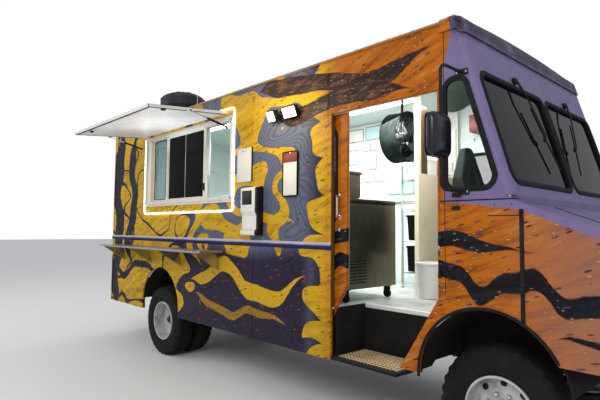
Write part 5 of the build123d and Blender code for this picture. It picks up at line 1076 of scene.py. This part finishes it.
# Roof fan: square curb, base skirt, ribbed hood with a screen under it, and a thin aerial beside it
fanLow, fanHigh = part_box("roof_fan")
fanX, fanY = (fanLow.x + fanHigh.x) / 2, (fanLow.y + fanHigh.y) / 2
curbTop = roofHeight(fanY) + 0.145
fan = Piece("roofFan", "fanMetal")
fan.loft([[(fanX + a * 0.27, fanY + b * 0.27, roofHeight(fanY + b * 0.27) + 0.0004) for a, b in square],
          [(fanX + a * 0.262, fanY + b * 0.262, curbTop) for a, b in square]])
skirt = [(0.0, 0.0), (0.318, 0.0), (0.334, 0.008), (0.368, 0.066), (0.370, 0.072), (0.362, 0.073),
         (0.332, 0.030), (0.0, 0.030)]
fan.turned((fanX, fanY, curbTop), upWay, skirt, 48)
bend = (0.31 ** 2 + 0.11 ** 2) / 0.22
radii = [0.306 * (1 - i / 8) for i in range(9)]
shell = [(0.306, 0.122)] + [(r, 0.232 + sqrt(bend ** 2 - r ** 2) - bend) for r in radii]
hood = [(0.300, 0.0), (0.310, 0.002), (0.312, 0.010), (0.306, 0.016)] + shell
hood += [(0.0, 0.20), (0.27, 0.14), (0.298, 0.0)]
hoodFoot = Vector((fanX, fanY, curbTop + 0.09))
fan.turned(hoodFoot, upWay, hood, 48)
for a, b in circle(12):
    way = Vector((a, b, 0))
    fan.tube([hoodFoot + way * (r + 0.001) + upWay * (h + 0.002) for r, h in shell[:-1]], 0.004, 5)
fan.use("rubber")
for a, b in circle(40):
    foot = Vector((fanX + a * 0.318, fanY + b * 0.318, curbTop + 0.028))
    fan.tube([foot, foot + Vector((-a * 0.008, -b * 0.008, 0.075))], 0.002, 4)
fan.done("body", "fan_metal", ["roof_fan"])

aerial = Piece("roofAerial", "plate")
base = Vector((fanX + 0.56, fanY - 0.12, roofHeight(fanY - 0.12)))
aerial.turned(base, upWay, [(0.028, -0.004), (0.028, 0.006), (0.014, 0.018), (0.007, 0.05), (0.0, 0.052)], 16)
aerial.tube([base + Vector((w, 0, h)) for w, h in ((0, 0.04), (0.02, 0.30), (0.05, 0.40))],
            [0.004, 0.003, 0.002], 6)
aerial.done("body", "white_paint")

# Side doors: window gaskets on both faces, chrome handle and lock, rivets and two ribs
seal = [(-0.012, -0.010), (-0.012, 0.003), (0.0, 0.0042), (0.018, 0.003), (0.018, -0.002)]
for side, name in sideNames.items():
    low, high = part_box(f"{name}_door")
    glassLow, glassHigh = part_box(f"{name}_door_glass")
    middle, size = (glassLow + glassHigh) / 2, glassHigh - glassLow
    face, skin, x = sideY(side, -0.045), leftWay * side, high.x - 0.075
    trim = Piece(f"{name}DoorTrim", "rubber")
    outline = box2(size.x + 0.0006, size.z + 0.0006, 0.06, 6)
    trim.rim(onPlane(outline, (middle.x, face, middle.z), forwardWay, upWay), skin, seal)
    trim.rim(onPlane(outline, (middle.x, sideY(side, -0.075), middle.z), forwardWay, upWay), -skin, seal)
    handle = [(x, sideY(side, out), z)
              for out, z in ((-0.044, 1.60), (-0.020, 1.612), (-0.020, 1.748), (-0.044, 1.76))]
    trim.use("bright").tube(handle, [0.010, 0.011, 0.011, 0.010], 10)
    for z in (1.60, 1.76):
        trim.turned((x, face, z), skin, [(0.022, -0.001), (0.022, 0.003), (0.012, 0.006), (0.0, 0.006)], 16)
    trim.turned((x, face, 1.50), skin, [(0.014, -0.001), (0.014, 0.004), (0.006, 0.005), (0.0, 0.003)], 16)
    rivets = [(high.x - 0.03, face, 1.12 + 0.11 * i) for i in range(11)]
    rivets += [(low.x + 0.03, face, 0.62 + 0.14 * i) for i in range(12)]
    trim.use("iron").studs(rivets, skin, 0.004, 0.002)
    trim.blocks((low.x, face, 0), side, [
        ("door" if side > 0 else "openDoor", 0.05, high.x - low.x - 0.05, 0.0, 0.0035, z, z + 0.022, 0.0015)
        for z in (1.17, 1.40)])
    trim.done(f"{name}_door", "bright")

# Doorway: jamb channel and angles, the pocket's liner, step grating and a pale nosing along the deck's edge
doorway = Piece("doorwayTrim", "brownPaint")
wide, inner = doorX - jambX, halfWidth - 0.41
for side in sideNames:
    doorway.blocks((jambX, sideY(side), 0), side, [
        ("brownPaint", -0.006, 0.004, -0.039, 0.003, 0.90, 2.405, 0.002),
        ("body", -0.028, 0.002, -0.004, 0.004, 0.52, 2.44, 0.002),
        ("body", 0.0, wide + 0.01, -0.004, 0.004, 2.412, 2.44, 0.002),
        ("rubber", -0.21, 0.012, -0.0795, -0.088, 0.506, 0.885, 0.002),
    ])
    doorway.blocks((jambX, middleY, 0), side, [
        ("tread", 0.03, wide - 0.36, y - 0.003, y + 0.003, 0.5245, 0.531, 0.001)
        for y in [inner + 0.045 + i * 0.033 for i in range(10)]
    ] + [
        ("tread", x - 0.002, x + 0.002, inner + 0.03, inner + 0.36, 0.5245, 0.530, 0.0)
        for x in [0.05 + i * 0.034 for i in range(15)]
    ] + [("white", 0.01, wide - 0.06, inner - 0.03, inner + 0.004, 0.862, 0.894, 0.003)])
doorway.done("body", "stainless")
print("fan, doors and doorway ready")

# Cab: binnacle with dials, wheel with a padded rim, pedals, an oval visor on a bent rod, and a locker
seatY, dashX = middleY + 0.49, screenX - 0.04
cab = Piece("cabFittings", "black")
binnacle = roundedLoop([(-0.26, 0.0), (0.26, 0.0), (0.22, 0.11), (-0.22, 0.11)], 0.04, 4)
cab.plate(binnacle, (dashX - 0.235, seatY, 1.675), -leftWay, upWay, -0.14, 0.008)
for offset, size in ((-0.13, 0.045), (0.0, 0.052), (0.13, 0.045)):
    dial = [(size, -0.002), (size, 0.003), (size * 0.9, 0.002), (0.0, 0.002)]
    cab.use("plate").turned((dashX - 0.236, seatY + offset, 1.73), -forwardWay, dial, 24)
hub = Vector((dashX - 0.26, seatY, 1.70))
axis = Vector((-1, 0, 1)).normalized()
across = axis.orthogonal().normalized()
ring = [hub + axis * 0.0125 + (across * a + axis.cross(across) * b) * 0.2125 for a, b in circle(40)]
cab.use("black").tube(ring, 0.0155, 8, True)
cab.turned(hub + axis * 0.012, axis, [(0.055, -0.02), (0.055, 0.012), (0.04, 0.022), (0.0, 0.026)], 24)
for offset in (0.13, -0.02, -0.20):
    place = (dashX - 0.06, seatY + offset, 0)
    cab.blocks(place, 1, [("black", -0.022, -0.008, -0.035, 0.035, 1.02, 1.12, 0.004)])
    cab.tube([(place[0] - 0.01, place[1], 1.07), (place[0] + 0.06, place[1], 1.22)], 0.007, 6)
visor, way = Vector((axleX - 0.330, rightY + 0.30, 2.435)), Vector((0.62, -0.78, -0.10)).normalized()
across = upWay.cross(way).normalized()
up = way.cross(across)
oval = [(0.125 * a, 0.108 * b + 0.25 * 0.125 * a) for a, b in circle(32)]
cab.use("sage").plate(oval, visor, across, up, 0.022, 0.009, 3)
rod = [visor + up * 0.10 + way * 0.01, visor + up * 0.19 + way * 0.01, visor + up * 0.21 + leftWay * 0.10,
       Vector((visor.x, visor.y + 0.16, 2.80))]
cab.use("bright").tube(rod, 0.006, 6)
cab.blocks((axleX, leftY, 0), 1, [
    ("brown", -1.05, -0.45, -0.30, -0.080, 2.50, 2.68, 0.008),
    ("brown", -1.05, -0.45, -0.10, -0.041, 2.52, 2.66, 0.004),
])
cab.done("body", "black_plastic")

# Driver's seat: pedestal, stuffed cushion and a tall back that narrows to the top
seat = {"x": axleX - 0.716, "swell": 0.008, "fill": 0.7, "voxel": 0.008, "pressure": 4.0, "frames": 16}
hub = Vector((seat["x"], seatY, deckZ))


def stuffed(piece, swell):
    # a stuffed form blown up a little as cloth
    shape = piece.done("body", "seat_cover")
    scene = bpy.context.scene
    bpy.context.view_layer.objects.active = shape
    remesh = shape.modifiers.new("voxels", "REMESH")
    remesh.mode, remesh.voxel_size = "VOXEL", seat["voxel"]
    graph = bpy.context.evaluated_depsgraph_get()
    mesh = bpy.data.meshes.new_from_object(shape.evaluated_get(graph))
    shape.modifiers.clear()
    mesh.materials.clear()
    mesh.materials.append(finishes["vinyl"])
    shape.data = mesh
    cloth = shape.modifiers.new("stuffing", "CLOTH")
    cloth.settings.use_pressure, cloth.settings.uniform_pressure_force = True, seat["pressure"]
    cloth.settings.effector_weights.gravity = 0.0
    scene.frame_start, scene.frame_end = 1, seat["frames"]
    for number in range(1, seat["frames"] + 1):
        scene.frame_set(number)
    swollen = shape.evaluated_get(bpy.context.evaluated_depsgraph_get())
    for vertex, after in zip(mesh.vertices, [v.co.copy() for v in swollen.to_mesh().vertices]):
        move = after - vertex.co
        vertex.co = vertex.co + move * min(1.0, swell / max(move.length, 1e-6))
    swollen.to_mesh_clear()
    shape.modifiers.clear()
    scene.frame_set(1)
    mesh.shade_smooth()


def crowned(piece, outline, origin, across, up, normal, depth, crown, flare=0.0):
    # an outline whose two faces bulge and whose sides pull in, and which may thicken downward
    n = len(outline)

    def spot(a, b, size, share, rise=0.0):
        out = depth * share + rise + flare * share * max(0.0, 0.25 - b)
        return origin + across * a * size + up * b * size + normal * out

    sides = ((0.0, 0.90), (0.12, 0.985), (0.5, 0.992), (0.88, 0.985), (1.0, 0.90))
    points = [spot(a, b, size, share) for share, size in sides for a, b in outline]
    faces = [[i * n + j, i * n + (j + 1) % n, (i + 1) * n + (j + 1) % n, (i + 1) * n + j]
             for i in range(4) for j in range(n)]
    for base, share, rise in ((0, 0.0, -crown), (4 * n, 1.0, crown)):
        inside = len(points)
        points += [spot(a, b, 0.55, share, rise * 0.75) for a, b in outline]
        points.append(spot(0.0, 0.0, 1.0, share, rise))
        for j in range(n):
            k = (j + 1) % n
            faces += [[base + j, base + k, inside + k, inside + j], [inside + j, inside + k, inside + n]]
    piece.add(points, faces)


base = Piece("seatBase", "frame")
base.blocks(hub, 1, [
    ("frame", -0.155, 0.155, -0.145, 0.145, 0.002, 0.40, 0.02),
    ("frame", -0.20, 0.20, -0.20, 0.20, 0.40, 0.478, 0.012),
    ("frame", -0.262, -0.24, -0.03, 0.03, 0.42, 0.80, 0.006),
])
welt = [hub + Vector((a, b, 0.54)) for a, b in box2(0.488, 0.488, 0.08, 6)]
base.use("vinyl").tube(welt, 0.006, 6, True)
base.done("body", "black_plastic", ["seat"])
cushion = Piece("seatCushion", "vinyl")
crowned(cushion, box2(0.478, 0.478, 0.08, 6), hub + upWay * 0.490, forwardWay, leftWay, upWay, 0.085, 0.008)
stuffed(cushion, seat["swell"])
back = Piece("seatBack", "vinyl")
outline = roundedLoop([(-0.262, 0.585), (0.262, 0.585), (0.258, 0.90), (0.215, 1.10), (0.062, 1.410),
                       (-0.062, 1.410), (-0.215, 1.10), (-0.258, 0.90)], 0.07, 5)
outline = [(a, b - 0.93) for a, b in outline]
foot = Vector((seat["x"] - 0.262, seatY, deckZ + 0.93))
crowned(back, outline, foot, leftWay, upWay, forwardWay, 0.095, 0.008, 0.30)
stuffed(back, seat["swell"])

# Ceiling lamps: two white trays with bright tubes
trays = Piece("ceilingTrays", "white")
low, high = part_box("ceiling_lamps")
wide, long = high.y - low.y, 1.25
for x in (low.x, high.x - long):
    trays.blocks((x, low.y, high.z), 1, [
        ("white", 0.0, long, 0.0, wide, -0.022, 0.0, 0.004),
        ("white", 0.0, long, 0.002, 0.010, -0.048, -0.018, 0.002),
        ("white", 0.0, long, wide - 0.010, wide - 0.002, -0.048, -0.018, 0.002),
        ("white", 0.002, 0.022, 0.01, wide - 0.01, -0.056, -0.018, 0.003),
        ("white", long - 0.022, long - 0.002, 0.01, wide - 0.01, -0.056, -0.018, 0.003),
    ])
    for y in (low.y + 0.04, high.y - 0.04):
        trays.use("tubeGlow").tube([(x + w, y, high.z - 0.040) for w in (0.02, long - 0.02)], 0.013, 12)
trays.done("body", "light_tube", ["ceiling_lamps"])

# Fridge: steel case, louvres on the end at the doorway, far doors with handles, lids, a pan and casters
low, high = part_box("fridge")
caseLow = 1.0
long, wide, tall = high.x - low.x, high.y - low.y, high.z - caseLow
cold = Piece("prepFridge", "cold")
cold.blocks((low.x, low.y, caseLow), 1, [
    ("cold", 0.0, long, 0.0, wide, 0.0, tall - 0.02, 0.008),
    ("cold", 0.0, long, 0.0, wide, tall - 0.045, tall, 0.006),
    ("rubber", long - 0.001, long + 0.0008, 0.012, 0.016, 0.12, tall - 0.06, 0.0),
    ("crate", long - 0.40, long - 0.02, 0.010, 0.215, tall + 0.004, tall + 0.21, 0.012),
    ("crate", long - 0.41, long - 0.01, 0.004, 0.222, tall + 0.205, tall + 0.232, 0.008),
] + [("steel", x, x + 0.20, 0.36, wide - 0.03, tall - 0.002, tall + 0.006, 0.003)
     for x in [0.05 + i * 0.222 for i in range(5)]])
for z in [0.05 + i * 0.026 for i in range(8)]:
    for y in (0.04, 0.16):
        cold.blocks((high.x, low.y + y, caseLow + z), 1, [
            ("rubber", -0.002, 0.0012, 0.0, 0.105, 0.0, 0.013, 0.0),
            ("cold", -0.001, 0.007, 0.0, 0.105, 0.010, 0.015, 0.001),
        ])
for x in (low.x + 0.02, low.x + 0.61):
    cold.blocks((x, high.y, caseLow), 1, [("steel", 0.0, 0.57, -0.004, 0.004, 0.05, tall - 0.16, 0.004)])
    bar = ((0.06, 0.004), (0.06, 0.008), (0.51, 0.008), (0.51, 0.004))
    cold.tube([(x + w, high.y + out, high.z - 0.19) for w, out in bar], 0.006, 6)
for x in (low.x + 0.06, high.x - 0.06):
    for y in (low.y + 0.06, high.y - 0.06):
        cold.blocks((x, y, 0), 1, [
            ("frame", -0.035, 0.035, -0.03, 0.03, caseLow - 0.008, caseLow + 0.002, 0.002),
            ("frame", -0.02, 0.026, -0.020, -0.016, 0.925, caseLow - 0.006, 0.001),
            ("frame", -0.02, 0.026, 0.016, 0.020, 0.925, caseLow - 0.006, 0.001),
        ])
        roller = [(0.030, 0.0), (0.038, 0.004), (0.038, 0.024), (0.030, 0.028)]
        cold.use("rubber").turned((x + 0.006, y - 0.014, 0.929), leftWay, roller, 20)
cold.done("body", "stainless", ["fridge"])

# Drum fan on its rod: rolled drum, wire guards on both faces, five blades and a motor
low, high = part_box("drum_fan")
drumY, drumZ = (low.y + high.y) / 2, 2.455
hub = Vector((low.x, drumY, drumZ))
shell = [(0.252, 0.0), (0.259, 0.002), (0.259, 0.010), (0.254, 0.014)]
shell += [(0.252 + rise, start + along) for start in (0.06, 0.13)
          for rise, along in ((0.0, 0.0), (0.004, 0.006), (0.004, 0.014), (0.0, 0.02))]
shell += [(0.254, 0.188), (0.259, 0.192), (0.259, 0.198), (0.252, 0.200), (0.247, 0.190), (0.247, 0.010)]
drum = Piece("drumFan", "drum")
drum.turned(hub, forwardWay, shell, 56, True)
drum.use("guard")
for x in (0.006, 0.194):
    for r in (0.07, 0.11, 0.15, 0.19, 0.23):
        drum.tube([hub + Vector((x, r * a, r * b)) for a, b in circle(36)], 0.0018, 4, True)
    for a, b in circle(16)[:8]:
        drum.tube([(low.x + x, drumY + r * a, drumZ + r * b) for r in (-0.248, 0.248)], 0.0025, 4)
for i in range(5):
    rows = []
    for k in [k / 6 for k in range(7)]:
        r = 0.06 + 0.16 * k
        for w, lift in ((-0.30, -0.025), (0.0, 0.004), (0.30, 0.025)):
            angle = 2 * pi * i / 5 + w * (0.8 + 0.4 * k) + 0.25 * k
            rows.append(hub + Vector((0.095 + lift, r * cos(angle), r * sin(angle))))
    # a blade is a grid of seven by three points, doubled and closed round its edge
    faces = [[k * 3 + j, k * 3 + j + 1, k * 3 + j + 4, k * 3 + j + 3] for k in range(6) for j in range(2)]
    rim = [0, 3, 6, 9, 12, 15, 18, 19, 20, 17, 14, 11, 8, 5, 2, 1]
    faces += [[21 + v for v in f][::-1] for f in faces]
    faces += [[a, b, 21 + b, 21 + a] for a, b in zip(rim, rim[1:] + rim[:1])]
    drum.add(rows + [p + forwardWay * 0.002 for p in rows], faces)
drum.use("frame")
motor = [(0.0, 0.0), (0.045, 0.002), (0.055, 0.02), (0.055, 0.13), (0.04, 0.15), (0.0, 0.152)]
drum.turned(hub + forwardWay * 0.02, forwardWay, motor, 24)
for z in (-0.15, 0.15):
    drum.blocks(hub, 1, [("frame", 0.07, 0.09, -0.010, 0.010, z - 0.10, z + 0.10, 0.002)])
top = Vector((hub.x + 0.1, hub.y, high.z))
drum.tube([hub + Vector((0.1, 0, 0.254)), top], 0.0135, 12)
drum.turned(top - upWay * 0.001, -upWay, [(0.045, 0.0), (0.045, 0.006), (0.014, 0.012), (0.0, 0.012)], 20)
drum.done("body", "fan_metal", ["drum_fan"])

# Wire rack: round posts, wire shelves, dark crates and pale tubs
low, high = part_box("kitchen_rack")
rack = Piece("wireRack", "bright")
for x in (low.x + 0.013, high.x - 0.013):
    for y in (low.y + 0.013, high.y - 0.013):
        rack.tube([(x, y, 0.8905), (x, y, high.z)], 0.0125, 10)
        rack.turned((x, y, 0.8905), upWay, [(0.018, 0.0), (0.018, 0.012), (0.0125, 0.02)], 12)
for z in [deckZ + height + 0.004 for height in (0.15, 0.48, 0.81, 1.14)]:
    for y in (low.y + 0.012, high.y - 0.012):
        for drop, thick in ((0.0, 0.004), (0.02, 0.003)):
            rack.tube([(x, y, z - drop) for x in (low.x + 0.013, high.x - 0.013)], thick, 6)
    for x in [low.x + 0.03 + i * (high.x - low.x - 0.06) / 23 for i in range(24)]:
        rack.tube([(x, y, z + 0.004) for y in (low.y + 0.01, high.y - 0.01)], 0.002, 4)
# columns: finish, start, end, height of its foot, height
boxes = (("board", 0.03, 0.22, 0.16, 0.27), ("board", 0.24, 0.43, 0.16, 0.24),
         ("board", 0.03, 0.43, 0.49, 0.27), ("white", 0.02, 0.44, 0.82, 0.08),
         ("white", 0.05, 0.30, 1.15, 0.20))
for finish, start, end, foot, tall in boxes:
    hub = Vector((low.x + (start + end) / 2, (low.y + high.y) / 2, deckZ + foot + 0.012))
    rings = ((0.90, 0.0), (0.97, tall * 0.92), (1.03, tall * 0.93), (1.03, tall), (0.96, tall), (0.88, 0.012))
    outline = box2(end - start, 0.34, 0.03, 3)
    rack.use(finish).loft([[hub + Vector((a * size, b * size, rise)) for a, b in outline]
                           for size, rise in rings])
rack.done("body", "stainless", ["kitchen_rack"])

# Left wall's inside: a board on battens that covers the far door's pocket, cupboards, sheets and a tube lamp
lining = Piece("wallLining", "white")
face = (axleX, leftY - 0.0865, 0)
lining.blocks(face, -1, [
    ("white", -3.070, -1.290, 0.0005, -0.004, 1.84, 2.84, 0.001),
    ("cyan", -2.230, -1.840, 0.030, 0.0005, 1.93, 2.29, 0.003),
] + [("white", x, x + 0.04, -0.003, -0.0465, 1.85, 2.83, 0.002) for x in (-3.060, -2.680, -2.200)])
lining.blocks((axleX, rightY, 0), 1, [
    ("brownPaint", -1.278, -1.262, 1.200, 1.40, 2.045, 2.72, 0.003),
    ("white", -2.420, -1.430, 1.445, 1.505, 2.862, 2.878, 0.003),
    ("white", -2.420, -2.400, 1.457, 1.493, 2.826, 2.864, 0.003),
    ("white", -1.450, -1.430, 1.457, 1.493, 2.826, 2.864, 0.003),
])
for x in (-3.050, -2.464, -1.878):
    lining.blocks(face, -1, [("white", x, x + 0.571, 0.022, 0.0, 2.10, 2.60, 0.004)])
    handle = ((0.024, 2.14), (0.038, 2.15), (0.038, 2.23), (0.024, 2.24))
    lining.use("steel").tube([(axleX + x + 0.54, face[1] - out, z) for out, z in handle], 0.004, 6)
# columns: start, end, low, high, how far off the board, finish
sheets = ((-2.890, -2.600, 2.63, 2.80, 0.0, "plate"), (-2.570, -2.330, 2.63, 2.81, 0.0, "cyan"),
          (-2.893, -2.669, 2.33, 2.53, 0.022, "cyan"), (-2.603, -2.378, 2.25, 2.50, 0.022, "plate"))
for start, end, z0, z1, out, finish in sheets:
    lining.blocks(face, -1, [
        ("sage", start, end, out + 0.005, out - 0.0005, z0, z1, 0.002),
        (finish, start + 0.014, end - 0.014, out + 0.0065, out + 0.003, z0 + 0.014, z1 - 0.014, 0.001),
    ])
lining.use("tubeGlow").tube([(at(station), rightY + 1.475, 2.842) for station in (-2400, -1450)], 0.013, 12)
bucket = [(0.0, 0.0), (0.108, 0.0), (0.112, 0.004), (0.132, 0.300), (0.138, 0.302), (0.138, 0.318),
          (0.131, 0.320), (0.126, 0.304), (0.105, 0.008), (0.0, 0.006)]
lining.use("white").turned((at(-1060), rightY + 1.12, 0.8925), upWay, bucket, 32)
lining.done("body", "white_paint")
print("kitchen ready")

# Floor, light and camera
studio = {"reach": 60.0, "key": 330.0, "fill": 150.0, "rear": 170.0, "sky": 0.60, "inside": 40.0, "glow": 4.0}
scene = bpy.context.scene
floorMesh = bpy.data.meshes.new("studioFloor")
floorMesh.from_pydata([(a * studio["reach"], b * studio["reach"], 0) for a, b in square], [], [(0, 1, 2, 3)])
floor = bpy.data.objects.new("studioFloor", floorMesh)
scene.collection.objects.link(floor)
ground = Finish("studioFloorPaint", Roughness=0.8, Specular_IOR_Level=0.2)
ground.set(Base_Color=ground.blend(ground.noise(ground.place(), 0.7, 3.0) * 0.3, "#F0F0EE", "#E8E8E6"))
floorMesh.materials.append(ground.material)

# the sky lights the van, and the camera sees plain white behind it, also through glass
world = bpy.data.worlds.new("studioSky")
scene.world = world
world.use_nodes = True
nodes, links = world.node_tree.nodes, world.node_tree.links
sky, back = nodes["Background"], nodes.new("ShaderNodeBackground")
sky.inputs["Color"].default_value = (0.93, 0.95, 1.0, 1)
sky.inputs["Strength"].default_value = studio["sky"]
back.inputs["Color"].default_value = (1, 1, 1, 1)
rays, either = nodes.new("ShaderNodeLightPath"), nodes.new("ShaderNodeMath")
either.operation = "MAXIMUM"
choice = nodes.new("ShaderNodeMixShader")
for source, target in ((rays.outputs["Is Camera Ray"], either.inputs[0]),
                       (rays.outputs["Is Transmission Ray"], either.inputs[1]),
                       (either.outputs[0], choice.inputs[0]), (sky.outputs[0], choice.inputs[1]),
                       (back.outputs[0], choice.inputs[2]),
                       (choice.outputs[0], nodes["World Output"].inputs["Surface"])):
    links.new(source, target)


def lamp(name, place, target, size, power, colour=(1, 1, 1)):
    data = bpy.data.lights.new(name, "AREA")
    data.shape, data.size, data.energy, data.color = "DISK", size, power, colour
    light = bpy.data.objects.new(name, data)
    light.visible_camera = False
    scene.collection.objects.link(light)
    light.location = place
    light.rotation_euler = (Vector(target) - Vector(place)).to_track_quat("-Z", "Y").to_euler()


inside, white = studio["inside"], (0.95, 0.98, 1.0)
lamp("keyLamp", (5.0, -8.0, 6.5), (0, 0, 1.4), 5.0, studio["key"], (1.0, 0.98, 0.95))
lamp("fillLamp", (-7.0, -7.0, 5.0), (0, 0, 1.4), 5.0, studio["fill"])
lamp("rearLamp", (-3.0, 9.0, 7.0), (0, 0, 1.4), 5.0, studio["rear"])
lamp("kitchenLamp", (jambX - 0.25, middleY + 0.1, 2.62), (jambX + 0.35, middleY + 0.3, 0.9), 0.8, inside,
     white)
lamp("counterLamp", (at(-2800), middleY - 0.2, 2.62), (at(-2750), middleY + 0.2, 0.9), 0.8, inside * 1.3,
     white)
lamp("cabLamp", (axleX - 0.55, middleY - 0.35, 2.62), (axleX - 1.25, middleY + 0.4, 1.5), 0.4, inside * 0.35,
     (1.0, 0.92, 0.80))
lamp("awningGlow", (at(-3500), rightY - 0.30, 2.25), (at(-3500), rightY - 0.46, 2.62), 0.9, studio["glow"],
     (0.97, 0.98, 1.0))
lamp("floodGlow", (at(-1790), rightY - 0.42, 2.50), (at(-1790), rightY, 2.40), 0.30, studio["glow"],
     (1.0, 0.82, 0.45))

# the photograph's camera, as it was fitted
view = {"place": (axleX + 1.376, rightY - 2.777, 1.5), "yaw": 46.99, "pitch": 3.432, "roll": 0.538,
        "lens": 29.256}
yaw, pitch = radians(view["yaw"]), radians(view["pitch"])
look = Vector((-sin(yaw) * cos(pitch), cos(yaw) * cos(pitch), sin(pitch)))
cameraData = bpy.data.cameras.new("photoView")
cameraData.lens, cameraData.sensor_width = view["lens"], 36.0
cameraData.clip_start, cameraData.clip_end = 0.05, 200.0
camera = bpy.data.objects.new("photoView", cameraData)
scene.collection.objects.link(camera)
tilt = Matrix.Rotation(radians(-view["roll"]), 3, look)
aim = look.to_track_quat("-Z", "Y").to_matrix()
camera.matrix_world = Matrix.Translation(view["place"]) @ (tilt @ aim).to_4x4()
scene.camera = camera
scene.view_settings.view_transform = "Standard"
print("stage and camera ready")
